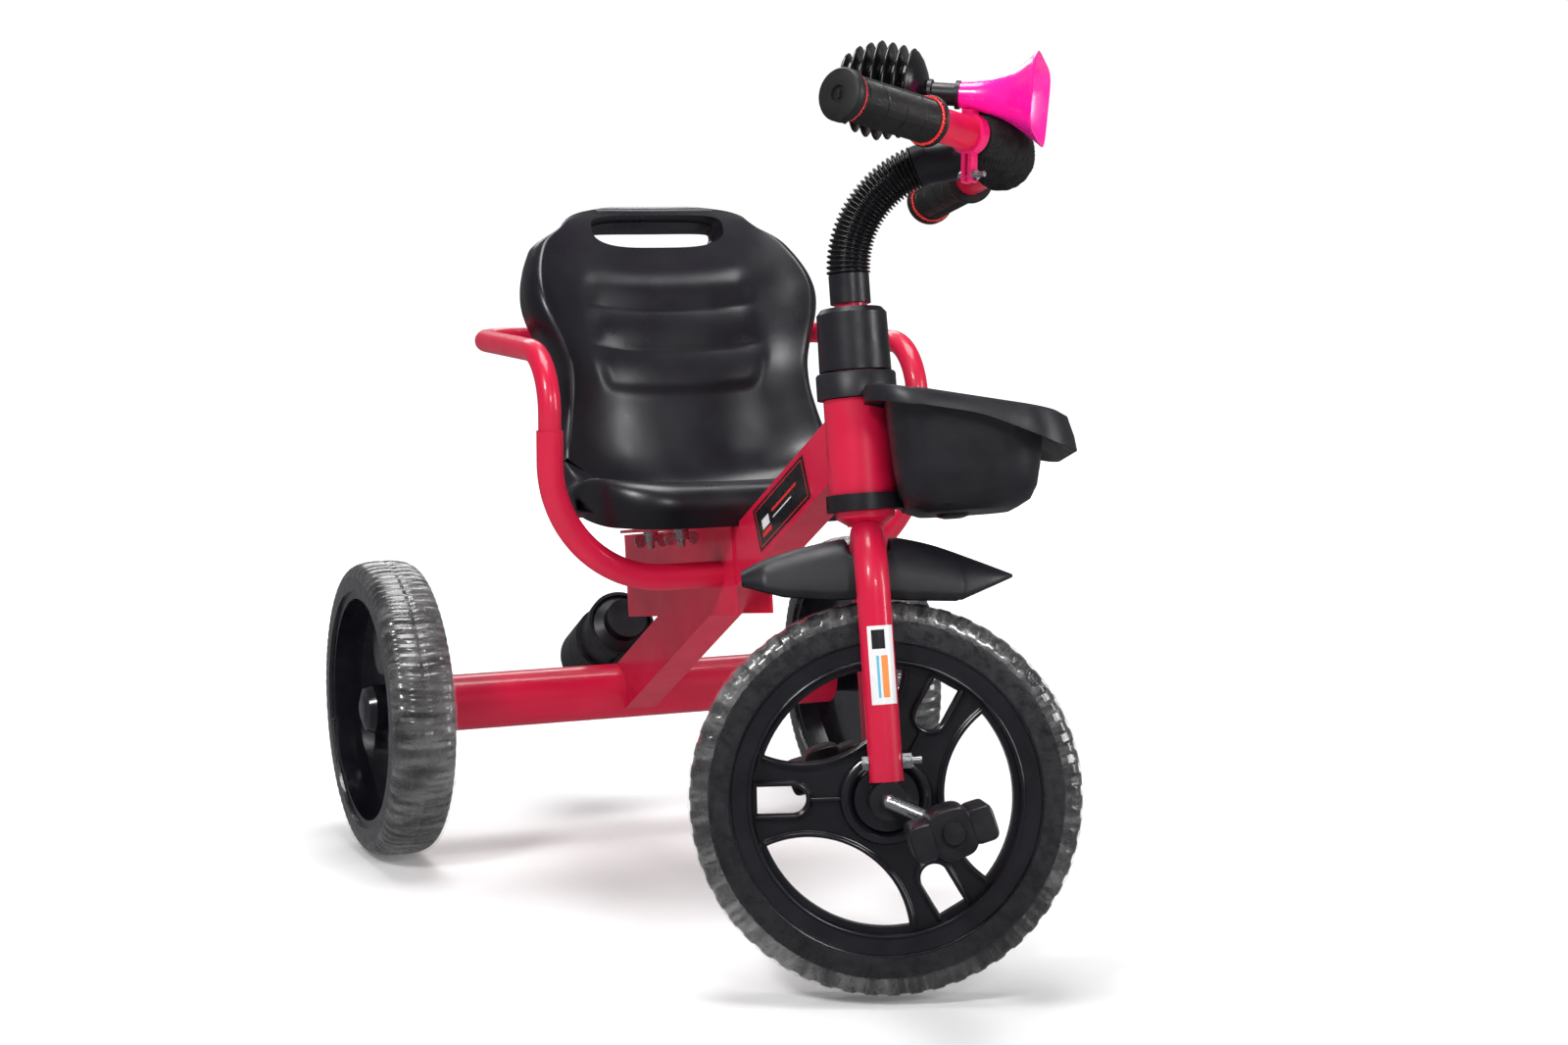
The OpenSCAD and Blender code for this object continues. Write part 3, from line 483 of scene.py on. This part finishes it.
a = circle(72)
slot_rings = []
for top, low, wide, z in ((16, 18, 64, 12), (14, 16.5, 61.5, 3), (13, 15.5, 60, -2), (12, 15, 59.5, -9),
                          (6, 15, 58, -11.5), (3.5, 15, 57, -24), (3, 16, 58, -50)):
    x = wide * signed_power(np.cos(a), 0.55)
    y = np.where(np.sin(a) > 0, top * abs(np.sin(a)) ** 0.45, -low * abs(np.sin(a)) ** 0.9)
    slot_rings.append(np.stack([x, y, np.full(72, z)], -1))
cut(seat, put("cutter", placed_mesh("cutter", *skin(np.array(slot_rings), caps=True), BACK)))


# ---------- basket ----------
def rounded_loop(x0, x1, y0, y1, r, n=24):
    """A rounded rectangle as a loop of 200 points, evenly spread."""
    out = []
    for cx, cy, a0 in ((x1 - r, y1 - r, 0), (x0 + r, y1 - r, 90), (x0 + r, y0 + r, 180),
                       (x1 - r, y0 + r, 270)):
        for k in np.linspace(0, 90, n):
            q = math.radians(a0 + k)
            out.append((cx + r * math.cos(q), cy + r * math.sin(q)))
    out = np.array(out)
    closed = np.concatenate([out, out[:1]])
    s = np.concatenate([[0], np.cumsum(np.linalg.norm(np.diff(closed, axis=0), axis=1))])
    at = np.linspace(0, s[-1], 200, endpoint=False)
    return np.stack([np.interp(at, s, closed[:, k]) for k in range(2)], -1)


def keep_clear(loop, radius):
    """Pushes points out of a round well about the steering axis."""
    d = np.linalg.norm(loop, axis=1)
    out = loop.copy()
    inside = d < radius
    out[inside, 1] = -np.sqrt(np.clip(radius ** 2 - out[inside, 0] ** 2, 0, None))
    return out


def basket():
    rim_slope, lift, front_push, front_from, lowest = 0.222, 5, 4, -36, 11
    # half width, back, front, corner, height at the back and at the front, from inside the rim
    # over it and down the outside; then the inside, from the floor up
    rows = []
    for hw, yb, yf, r, hb, hf in (
            (78, -24, -122, 26, 296, 296),       # inside, under the rim
            (90, -6, -140, 30, 303, 303),        # crest, inner
            (95, -3.5, -147, 36, 301.5, 300),    # crest, outer
            (97.5, -3, -151, 38, 297, 286),
            (98, -3, -152.5, 40, 290, 276),
            (95.5, -4, -150.5, 38, 290.5, 277),  # under the rim
            (84.5, -18, -131.5, 30, 293, 288),
            (82, -20, -129, 32, 262, 262),
            (79, -22, -126, 32, 236, 236),
            (76, -25, -122.5, 30, 220, 220),
            (71, -30, -117, 28, 210, 210),
            (62, -38, -108, 24, 205, 205)):
        loop = keep_clear(rounded_loop(-hw, hw, yf, yb, r), 31.5)
        frac = (loop[:, 1] - yb) / (yf - yb)
        flat = smoothstep(0.45, 1, frac)
        h = hb + (hf - hb) * flat
        if hb > 285:
            h = h + rim_slope * loop[:, 1]
        rows.append(np.concatenate([loop, h[:, None]], 1))
    for hw, yb, yf, r, h in ((64, -40, -106, 22, 208), (72, -33, -114, 26, 213), (76, -28, -119, 28, 224),
                             (79, -25, -123, 30, 250)):
        loop = keep_clear(rounded_loop(-hw, hw, yf, yb, r), 35)
        rows.append(np.concatenate([loop, np.full((len(loop), 1), h)], 1))
    ring = np.array(rows)
    ring[:, :, 2] += lift
    v, f = skin(ring)
    n, m = ring.shape[:2]
    # the two floors are closed apart
    f = [face for face in f if not lowest * m <= face[0] < (lowest + 1) * m]
    f.append(tuple(range(lowest * m, (lowest + 1) * m)))
    f.append(tuple(range((lowest + 1) * m, (lowest + 2) * m))[::-1])
    last = (n - 1) * m
    v[:, 1] = np.where(v[:, 1] < front_from, v[:, 1] - front_push, v[:, 1])
    f += [(last + j, last + (j + 1) % m, (j + 1) % m, j) for j in range(m)]
    return v, f


collar = lathe([(17.0, 301.6), (30.5, 301.6), (30.5, 319.5), (29.5, 321), (17.0, 321)], 64)
piece("basket_moulding", *join(basket(), collar), STEER, "steering", BASKET, ["basket"],
      "black_plastic", smooth=35)
screw = lathe([(0.5, 204.8), (13, 204.8), (12, 201.5), (7, 200), (0.5, 199.8)], 32, closed=False)
piece("basket_screw", *screw, STEER @ move(0, -66, 6), "steering", BLACK, slot="black_plastic")


# ---------- fender ----------
def fender():
    back_end, front_end, half_width = -97, 108, 30
    ridge = spline([(back_end, 177), (-79, 184.6), (-49, 192), (-14, 196.6), (14, 196), (46.5, 187.8),
                    (80, 173.7), (front_end, 161)], 90)
    rows = []
    for w, h in ridge:
        g = (w - back_end) / (front_end - back_end)
        reach = half_width * min(1, (1 - g) * 5.2) ** 0.62 * min(1, 0.66 + g * 4) if g < 1 else 0
        low = np.interp(w, [back_end, -66, -30, 0, 30, 66, front_end], [168, 158, 153, 152.5, 149, 146, 161])
        a = np.linspace(-1, 1, 41)
        x = reach * np.sin(a * np.pi / 2)
        across = np.clip(1 - np.abs(np.sin(a * np.pi / 2)) ** 2.6, 0, 1)
        z = h - (h - low) * (1 - np.power(across, 1 / 2.2))
        saddle = (1 - smoothstep(13.4, 16.5, abs(w))) * (z > 183) * (z - 183.2)
        rows.append(np.stack([x, np.full(41, -w), z - saddle], -1))
    top = np.array(rows)
    under = top.copy()
    under[..., 2] -= 2.2
    under[..., 0] *= 0.93
    ring = np.concatenate([top, under[:, ::-1]], 1)
    return skin(ring, caps=True)


piece("fender_moulding", *fender(), STEER, "steering", BASKET, ["fender"], "black_plastic", smooth=50)


# ---------- bellows hose, foam and grips ----------
def hose():
    turns, per = 29, 8
    n = turns * per + 1
    a = np.radians(np.linspace(0, HOSE_ANGLE, n))
    path = np.stack([0 * a, HOSE_BEND_R * (np.cos(a) - 1), HOSE_BEND_START + HOSE_BEND_R * np.sin(a)], -1)
    shape = np.array([14.0, 14.0, 14.8, 16.1, 16.8, 16.8, 16.1, 14.8])
    radius = shape[np.arange(n) % per]
    return sweep(path, radius, 40)


piece("hose_corrugated", *hose(), STEM, "steering", HOSE, ["bellows_hose"], "black_plastic", smooth=70)


def bar_path(a0, a1, n):
    a = np.radians(np.linspace(a0, a1, n))
    return np.stack([BAR_R * np.sin(a), BAR_R - BAR_R * np.cos(a), 0 * a], -1)


def foam():
    # a soft pad in a knitted net: plump in the middle, drawn in at its ends, a diamond relief all over
    n, m = 260, 168
    path = bar_path(-27.5, 27.5, n)
    t = np.linspace(-1, 1, n)
    plump = 13.4 + 9.3 * np.power(np.clip(1 - abs(t) ** 5, 0, 1), 0.5)
    s = np.linspace(0, 113, n)[:, None]
    c = circle(m)[None]
    k = 30
    lattice = abs(np.sin(k * c / 2 + s * 0.82)) ** 0.7 + abs(np.sin(k * c / 2 - s * 0.82)) ** 0.7
    wrinkle = 0.45 * np.sin(9 * c + 1.4 * np.sin(s * 0.13)) * np.sin(s * 0.31 + 2 * np.sin(3 * c))
    r = plump[:, None] + 0.75 * (lattice - 1) + wrinkle
    return sweep(path, r, m)


pad = piece("foam_net_pad", *foam(), BAR, "steering", FOAM, ["foam_pad"], "foam", smooth=80)


def grip_body():
    start, end = ARM_LEN - GRIP_LENGTH, ARM_LEN
    n, m = 300, 144
    z = np.linspace(start + 2.5, end - 10.5, n)[:, None]
    c = circle(m)[None]
    r = np.full((n, m), 15.9)
    # chevron ribs in panels, with a wavy groove between panels and a smooth thumb bar
    rib = 0.32 * np.sin(z * 2 * np.pi / 2.0 + 2.2 * np.sin(2 * c))
    panel = (np.mod(z - start, 21.5) < 19.6).astype(float)
    wave = np.abs(np.sin(c * 2.0 + 0.6))
    smooth_bar = (wave > 0.93).astype(float)
    r = r + rib * panel * (1 - smooth_bar) + 0.55 * smooth_bar - 0.5 * (1 - panel)
    body = skin(polar(r, c, z), caps=True)
    inner = lathe([(12.9, start - 4), (18, start - 4), (19.0, start - 3), (19.0, start - 0.8),
                   (18.4, start), (12.9, start)], 72)
    outer = lathe([(0.4, end - 8), (18.2, end - 8), (19.0, end - 7), (19.0, end - 1.6), (17.8, end + 0.2),
                   (15, end + 1), (6.2, end + 1), (5.4, end - 1.2), (0.4, end - 1.2)], 72)
    slot = skin(np.array([[(-x, -y, z), (x, -y, z), (x, y, z), (-x, y, z)]
                          for x, y, z in ((3.0, 1.4, end - 1), (2.6, 1.1, end + 0.6))], float), caps=True)
    return join(body, inner, outer, slot)


def toothed(z0, z1):
    """A red ring whose edge is a row of small teeth."""
    c, bore = circle(180), 16.4
    tooth = 17.9 + 0.35 * np.sign(np.sin(45 * c))
    rows = [polar(r, c, z) for r, z in ((bore, z0), (tooth - 0.7, z0), (tooth, z0 + 0.5), (tooth, z1 - 0.5),
                                        (tooth - 0.7, z1), (bore, z1))]
    return skin(np.array(rows), wrap_u=True)


for side, word in SIDES:
    piece(f"grip_{word}_ribbed", *grip_body(), arm(side), "steering", GRIP, [f"grip_{word}"],
          "black_plastic")
rings = [toothed(ARM_LEN - GRIP_LENGTH + 0.1, ARM_LEN - GRIP_LENGTH + 2.4),
         toothed(ARM_LEN - 10.4, ARM_LEN - 8.1)]
piece("grip_rings_left", *join(*rings), arm(1), "steering", RING_RED, ["grip_rings"], "red_plastic")
piece("grip_rings_right", *join(*rings), arm(-1), "steering", RING_RED, slot="red_plastic")


# ---------- horn ----------
def bell():
    # height along the horn, half width, half height and squareness, up the outside and down the inside
    a, rows = circle(96), []
    for s, hw, hh, e in ((-8, 9.5, 9.5, 2), (0, 10.4, 10.2, 2), (8, 11.6, 11.4, 2.1), (17, 14, 13.2, 2.3),
                         (26, 18, 16, 2.6), (33, 23.2, 19.2, 3), (39, 29, 22.4, 3.6), (45, 35.8, 25.8, 4.4),
                         (49, 41, 28, 5), (50.6, 43.8, 29, 5.5), (51.6, 44.4, 29.4, 5.5),
                         (51.8, 43.8, 28.8, 5.5), (50.8, 42.2, 27.6, 5.5), (45, 34.2, 24, 4.6),
                         (39, 27.4, 20.6, 3.7), (33, 21.6, 17.4, 3), (26, 16.2, 14.2, 2.6),
                         (12, 10.6, 10.2, 2.2), (-2, 8, 8, 2)):
        rows.append(np.stack([hw * signed_power(np.cos(a), 2 / e), hh * signed_power(np.sin(a), 2 / e),
                              np.full(96, s)], -1))
    return skin(np.array(rows), caps=True)


piece("horn_bell_flared", *bell(), HORN, "steering", HORN_PINK, ["horn_bell"], "pink_plastic", smooth=30)

DISCS = [26, 31.6, 34.6, 36.5, 35.5, 34, 32]
DISC_0, DISC_STEP = -93, 8.2
DISC_LAST = DISC_0 + (len(DISCS) - 1) * DISC_STEP
BULB_END = DISC_LAST + 12
VALLEY_R, AIR_R = 22.3, 4.6


def bulb():
    p = [(AIR_R, DISC_0 - 2.8), (19, DISC_0 - 2.8)]
    for i, r in enumerate(DISCS):
        z = DISC_0 + i * DISC_STEP
        p += [(VALLEY_R - 0.8, z - 3.0), (VALLEY_R, z - 2.2), (r - 0.9, z - 1.0), (r, z - 0.3),
              (r, z + 0.3), (r - 0.9, z + 0.9)]
        if i < len(DISCS) - 1:
            p += [(VALLEY_R, z + 2.4), (VALLEY_R - 0.8, z + 3.2)]
    p += [(30, DISC_LAST + 2.6), (25, DISC_LAST + 6.2), (17, DISC_LAST + 9.8), (9.6, BULB_END),
          (AIR_R, BULB_END)]
    return lathe(p, 96)


bellows = piece("horn_bulb_ribbed", *bulb(), HORN, "steering", HOSE, ["horn_bellows"], "black_plastic",
                smooth=35)
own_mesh(bellows)


# ---------- front wheel: ribs on the web, and the tyres ----------
def arc(cx, cy, r, a0, a1, n):
    a = np.radians(np.linspace(a0, a1, n))
    return np.stack([cx + r * np.cos(a), cy + r * np.sin(a)], -1)


def rib(line, rot, face, width):
    """A raised rib with a round top on one face of the web, its flat line turned by rot."""
    low, high, top_r = 7.5 * face, 12.0 * face, 1.9
    line = line @ rot
    top = sweep(np.column_stack([line, np.full(len(line), high)]), top_r, 12)
    return [ribbon(line, low, high, width), top]


def turned(degrees):
    q = math.radians(degrees)
    return np.array([[math.cos(q), math.sin(q)], [-math.sin(q), math.cos(q)]])


def wheel_ribs():
    window = arc(0, 121, 79, 270 - 53, 270 + 53, 60)
    spoke = np.concatenate([[(12.5, 98), (12.5, 90), (12.5, 80)], arc(0, 70, 12.5, 0, -180, 28),
                            [(-12.5, 80), (-12.5, 90), (-12.5, 98)]])
    spine = np.array([(0, 34), (0, 40), (0, 50), (0, 56)])
    parts = []
    for face in (-1, 1):
        for k in range(3):
            parts += rib(window, turned(120 * k), face, -3.2)
            parts += rib(spoke, turned(120 * k + 60), face, 2.8)
            parts += rib(spine, turned(120 * k + 60), face, 1.4)
    return join(*parts)


piece("front_wheel_ribs", *wheel_ribs(), WHEEL, "front_wheel", GLOSS, slot="black_plastic", smooth=50)
beads = [sweep(polar(r, circle(180), z), thick, 14, closed=True)
         for z in (-23.2, 23.2) for r, thick in ((117.6, 1.9), (102.4, 1.6))]
piece("front_wheel_beads", *join(*beads), WHEEL, "front_wheel", GLOSS, slot="black_plastic", smooth=60)
hub = lathe([(24, 8), (34.2, 8), (35, 10), (35, 16), (33.6, 19), (31.5, 20), (28.5, 20), (26, 18.6),
             (25.2, 16.4), (24, 16)], 96)
boss = lathe([(5.1, 27), (14.4, 27), (15, 28), (15, 30.4), (13.6, 32), (5.1, 32)], 72)
cone = lathe([(14, 8), (23.8, 8), (23, 14), (20, 20), (17, 25), (14, 27)], 72)
hubs = join(hub, boss, cone)
mirrored = (hubs[0] * np.array([1, 1, -1]), [face[::-1] for face in hubs[1]])
piece("front_hub_rings", *join(hubs, mirrored), WHEEL, "front_wheel", GLOSS, ["hub_rings"],
      "black_plastic", smooth=35)


def across(s, w):
    """Where the points s, from -1 to 1, lie across a tyre of width w."""
    return w / 2 * np.sign(s) * np.abs(np.sin(s * np.pi / 2)) ** 0.98


def round_tyre(rad, a, z, w, seat_r):
    """A tyre's tread of radius rad, closed by its seat on the rim."""
    seat = polar(np.full((1, 2), seat_r - 1.0), a, np.array([[w / 2 - 4, -w / 2 + 4]]))
    return skin(np.concatenate([polar(rad, a, z), seat], 1), wrap_u=True)


def tyre(r, w, seat_r, lugs, seed):
    """A fat foam tyre with blocks down both shoulders and shallow bars across the tread."""
    n, m = 960, 60
    gen = np.random.default_rng(seed)
    a = circle(n)[:, None]
    s = np.linspace(-1, 1, m)[None]
    rad = seat_r + (r - seat_r) * np.power(np.clip(1 - np.abs(s) ** 3.1, 0, 1), 0.46)
    phase = gen.uniform(0, 2 * np.pi, 4)
    block = smoothstep(-0.3, 0.3, np.sin(lugs * a + np.where(s > 0, 0, np.pi)))
    shoulder = np.exp(-((np.abs(s) - 0.70) / 0.13) ** 2)
    cross = np.exp(-((np.abs(s) - 0.30) / 0.26) ** 2)
    rad = rad - 2.2 * shoulder * (1 - block) - 1.2 * cross * (1 - smoothstep(-0.5, 0.1, np.sin(lugs * a)))
    rad = rad - 0.8 * np.exp(-(s / 0.035) ** 2)
    rad = rad + 0.25 * np.sin(7 * a + phase[0]) * np.sin(3 * s + phase[1])
    return round_tyre(rad, a, across(s, w), w, seat_r)


def ripple(gen, a, s, count, low, high):
    """Smooth blotches over the tyre, 0 to 1, from count waves of angle a and width s."""
    total = np.zeros(np.broadcast(a, s).shape)
    for _ in range(count):
        k, m = gen.integers(low, high), gen.uniform(-5, 5)
        total += np.sin(k * a + m * s + gen.uniform(0, 6.28))
    return 0.5 + 0.5 * np.tanh(total / math.sqrt(count) * 1.1)


def film(name, r, w, seat_r, seed, place, body, sheen_patches):
    """Clear wrap over a tyre: creased across, with painted glints along the crease crests and painted sheen
    at each (angle, spread, side, amount).
    """
    n, m = 1100, 54
    gen = np.random.default_rng(seed)
    a = circle(n)[:, None]
    s = np.linspace(-0.93, 0.93, m)[None]
    z = across(s, w + 1.6)
    rad = seat_r + (r - seat_r) * np.power(np.clip(1 - np.abs(s) ** 3.1, 0, 1), 0.46)
    crease, line = np.zeros((n, m)), np.zeros((n, m))
    for _ in range(60):
        f, p, tilt = gen.integers(30, 130), gen.uniform(0, 6.28), gen.uniform(-3, 3)
        centre, width = gen.uniform(0, 6.28), gen.uniform(0.1, 0.5)
        near = np.exp(-(np.angle(np.exp(1j * (a - centre))) / width) ** 2)
        wave = np.abs(np.sin(f * a / 2 + p + tilt * s + 0.6 * np.sin(3 * s + p)))
        crease += near * wave ** 3 / 6
        # thin painted glints along each crease's crest
        line += near * np.exp(-((wave - 0.97) / 0.03) ** 2)
    rad = rad + np.clip(0.5 + 1.2 * crease, 0.4, 2.0)
    # a faint random cloudiness of the film itself
    tint_and_glare = 0.02 + 0.05 * ripple(gen, a, s, 9, 3, 40) ** 2
    # the painted glints show as whiter, less clear film
    tint_and_glare = tint_and_glare + 0.16 * np.clip(line, 0, 1) * ripple(gen, a, s, 7, 4, 60)
    # painted sheen: the film is made whiter where the wrap catches the light near the tyre's edges
    for centre, width, side, amount in sheen_patches:
        near = np.exp(-(np.angle(np.exp(1j * (a - math.radians(centre)))) / math.radians(width)) ** 4)
        near = near * np.exp(-((s - side) / 0.42) ** 2)
        tint_and_glare = tint_and_glare + amount * near * (0.25 + 0.75 * ripple(gen, a, s, 12, 10, 150))
    obj = piece(name, *skin(polar(rad, a, z), wrap_u=True, wrap_v=False), place, body, FILM,
                slot="tyre_film", smooth=180)
    cover = obj.data.attributes.new("wrap", "FLOAT", "POINT")
    cover.data.foreach_set("value", np.clip(0.75 * tint_and_glare, 0.006, 0.8).astype(np.float32).ravel())


def ribbed_tyre(r, w, seat_r, ribs, seed):
    """A rounder foam tyre ribbed right across, with a fine groove round its middle."""
    n, m = 1200, 60
    gen = np.random.default_rng(seed)
    a = circle(n)[:, None]
    s = np.linspace(-1, 1, m)[None]
    rad = seat_r + (r - seat_r) * np.power(np.clip(1 - np.abs(s) ** 2.5, 0, 1), 0.5)
    wander = 0.5 * (ripple(gen, a, s * 0, 5, 2, 9) - 0.5)
    ridge = np.abs(np.sin(ribs * a / 2 + 1.5 * np.abs(s) + wander * 6)) ** 1.4
    depth = 1.5 * (0.55 + 0.45 * ripple(gen, a, s, 6, 3, 20)) * (1 - smoothstep(0.86, 0.98, np.abs(s)))
    rad = rad - depth * (1 - ridge) - 0.9 * np.exp(-(s / 0.03) ** 2)
    return round_tyre(rad, a, across(s, w), w, seat_r)


piece("front_tyre_treaded", *tyre(*FRONT_TYRE, 54, 3), AXLE, "front_wheel", TYRE, ["front_tyre"],
      "tyre_film")
# the last argument gives painted sheen patches on the wrap, where it catches the light in this view
film("front_tyre_wrap", *FRONT_TYRE, 11, AXLE, "front_wheel",
     [(262, 42, 0.1, 0.7), (45, 18, -0.6, 0.3), (130, 30, -0.2, 0.12)])
for side, word in SIDES:
    piece(f"rear_tyre_{word}_ribbed", *ribbed_tyre(*REAR_TYRE, 84, 5 + side), rear(side),
          f"{word}_rear_wheel", TYRE, [f"rear_tyre_{word}"], "tyre_film")
    # the last argument gives painted sheen patches on the wrap, where it catches the light in this view
    film(f"rear_tyre_{word}_wrap", *REAR_TYRE, 21 + side, rear(side), f"{word}_rear_wheel",
         [(180, 40, -0.5, 0.35), (0, 40, 0.2, 0.3), (270, 50, -0.6, 0.15)])


# ---------- pedals ----------
def pedal_block():
    x = np.concatenate([[74], np.linspace(75.2, 146.8, 13), [148]])
    inset = np.concatenate([[1.6], np.zeros(13), [1.6]])
    a, parts = circle(48), []
    # the barrel, then the two foot blocks each side of it
    for cy, hy, hz, e in ((0, 16, 18, 3.2), (21.5, 9.5, 13, 4.5), (-21.5, 9.5, 13, 4.5)):
        rows = []
        for i, xi in enumerate(x):
            tread = 0.5 * math.cos(i * math.pi) if 0 < i < len(x) - 1 else 0
            ry, rz = hy - inset[i], hz - inset[i] + tread
            rows.append(np.stack([np.full(48, xi), cy + ry * signed_power(np.cos(a), 2 / e),
                                  rz * signed_power(np.sin(a), 2 / e)], -1))
        parts.append(skin(np.array(rows), caps=True))
    v, f = lathe([(0.4, 147.5), (8.4, 147.5), (8.4, 152.6), (7.6, 154), (0.4, 154.4)], 40, closed=False)
    return join(*parts, (v[:, [2, 1, 0]], f))


for side, word in SIDES:
    place = (STEER @ turn(CRANK_TURN, "X") @ move(0, side * CRANK_R, 0) @ turn(-PEDAL_TILT, "X")
             @ mirror(side))
    piece(f"pedal_{word}_moulded", *pedal_block(), place, f"{word}_pedal", BLACK, [f"pedal_{word}"],
          "black_plastic", smooth=35)


# ---------- decals: plain graphics, with no lettering ----------
def decal(name, points, place, body, look):
    piece(name, *skin(np.asarray(points, float), wrap_v=False), place, body, look, slot="red_paint")


def on_blade(h0, h1, a0, a1, radius):
    """A patch wrapped on the rider's right fork leg; angles from straight out to the right."""
    a = np.radians(np.linspace(a0, a1, 9))
    return [[(-45 - radius * math.cos(q), -radius * math.sin(q), h) for q in a] for h in (h0, h1)]


for name, patch, look in (("fork_label", (71, 129, -34, 62, 12.95), STICKER_WHITE),
                          ("fork_label_mark", (112, 126, -20, 24, 13.1), STICKER_BLACK),
                          ("fork_label_band", (76, 107, 8, 30, 13.1), STICKER_ORANGE),
                          ("fork_label_line", (76, 107, -8, 0, 13.1), STICKER_BLUE)):
    decal(name, on_blade(*patch), STEER, "steering", look)


def on_tube(z0, z1, y0, y1, x):
    """A patch on the main tube's right side."""
    return [[(x, y0, z0), (x, y1, z0)], [(x, y0, z1), (x, y1, z1)]]


decal("tube_panel", on_tube(392, 508, -18, 18, -15.25), MAIN, "frame", STICKER_BLACK)
for k, (patch, look) in enumerate((((396, 504, -15.6, -14.8), RING_RED), ((396, 504, 14.8, 15.6), RING_RED),
                                   ((396, 397, -15, 15), RING_RED), ((503, 504, -15, 15), RING_RED),
                                   ((404, 424, -10, -6), RING_RED), ((406, 422, -4, 4), STICKER_WHITE),
                                   ((430, 486, 2, 4.4), RING_RED), ((430, 472, -3, -1.8), STICKER_WHITE))):
    decal(f"tube_panel_line_{k}", on_tube(*patch, -15.4), MAIN, "frame", look)


# ---------- the scene ----------
FLOOR_R, BACKDROP_R, ROUND = 13.99, 14, 64      # metres, and the sides of both
floor = bpy.data.meshes.new("floor")
floor.from_pydata([(FLOOR_R * math.cos(t), FLOOR_R * math.sin(t), 0) for t in circle(ROUND)], [],
                  [tuple(range(ROUND))])
floor_obj = put("floor", floor)
pale = material("floor_pale", (0.86, 0.86, 0.86), rough=0.7, rough_var=0.04, color_var=0.01, bump=0.02)
floor.materials.append(pale)
floor_obj.visible_glossy = False
# the floor glows more with distance, so that it meets the white background with no line
tree = pale.node_tree
reach = tree.nodes.new("ShaderNodeVectorMath")
reach.operation = "LENGTH"
coords = tree.nodes.new("ShaderNodeTexCoord")
tree.links.new(coords.outputs["Object"], reach.inputs[0])
glow = tree.nodes.new("ShaderNodeMapRange")
glow.interpolation_type = "SMOOTHSTEP"
for key, value in (("From Min", 0.6), ("From Max", 2.6), ("To Min", 0.12), ("To Max", 1.0)):
    glow.inputs[key].default_value = value
tree.links.new(reach.outputs["Value"], glow.inputs["Value"])
surface = tree.nodes["Principled BSDF"].inputs
surface["Emission Color"].default_value = (1, 1, 1, 1)
tree.links.new(glow.outputs[0], surface["Emission Strength"])

# a white backdrop all round, which lights nothing and shows in no reflection
ring = bpy.data.meshes.new("backdrop")
ring.from_pydata([(BACKDROP_R * math.cos(t), BACKDROP_R * math.sin(t), z)
                  for z in (-0.02, 9) for t in circle(ROUND)], [],
                 [(k, (k + 1) % ROUND, ROUND + (k + 1) % ROUND, ROUND + k) for k in range(ROUND)])
white = bpy.data.materials.new("backdrop_white")
white.use_nodes = True
surface = white.node_tree.nodes["Principled BSDF"].inputs
surface["Base Color"].default_value = (0, 0, 0, 1)
surface["Emission Color"].default_value = (1, 1, 1, 1)
surface["Emission Strength"].default_value = 1.0
ring.materials.append(white)
backdrop = put("backdrop", ring)
backdrop.visible_diffuse = backdrop.visible_glossy = backdrop.visible_shadow = False

world = bpy.data.worlds.new("studio")
world.use_nodes = True
sky = world.node_tree.nodes["Background"].inputs
sky["Color"].default_value = (0.96, 0.97, 1, 1)
sky["Strength"].default_value = 0.19
bpy.context.scene.world = world


def area(name, at, size, power, look_at=(0, -0.3, 0.3)):
    """A soft rectangular light, in metres and watts."""
    light = bpy.data.lights.new(name, "AREA")
    light.shape, light.size, light.size_y, light.energy = "RECTANGLE", size[0], size[1], power
    obj = put(name, light)
    obj.location = at
    obj.rotation_euler = (Vector(look_at) - Vector(at)).to_track_quat("-Z", "Y").to_euler()


area("key", (-1.9, -1.7, 2.1), (0.55, 0.55), 46)
area("top", (0.1, -0.2, 2.7), (1.4, 1.4), 60)
area("fill", (2.0, -2.1, 1.1), (0.5, 1.2), 24)
area("glint", (-0.2, -2.9, 1.5), (0.35, 0.35), 14, (0, -0.5, 0.2))
area("back", (0.3, 1.9, 1.7), (1.6, 0.7), 16)

camera = bpy.data.cameras.new("camera")
camera.sensor_width, camera.lens = 36, 64.18
camera_obj = put("camera", camera)
eye, target = Vector((-0.8761, -2.4302, 0.6198)), Vector((0, -0.36329, 0.33542))
look = (target - eye).to_track_quat("-Z", "Y").to_matrix().to_4x4()
camera_obj.matrix_world = Matrix.Translation(eye) @ look @ Matrix.Rotation(math.radians(0.15), 4, "Z")
bpy.context.scene.camera = camera_obj
bpy.context.scene.view_settings.view_transform = "Standard"
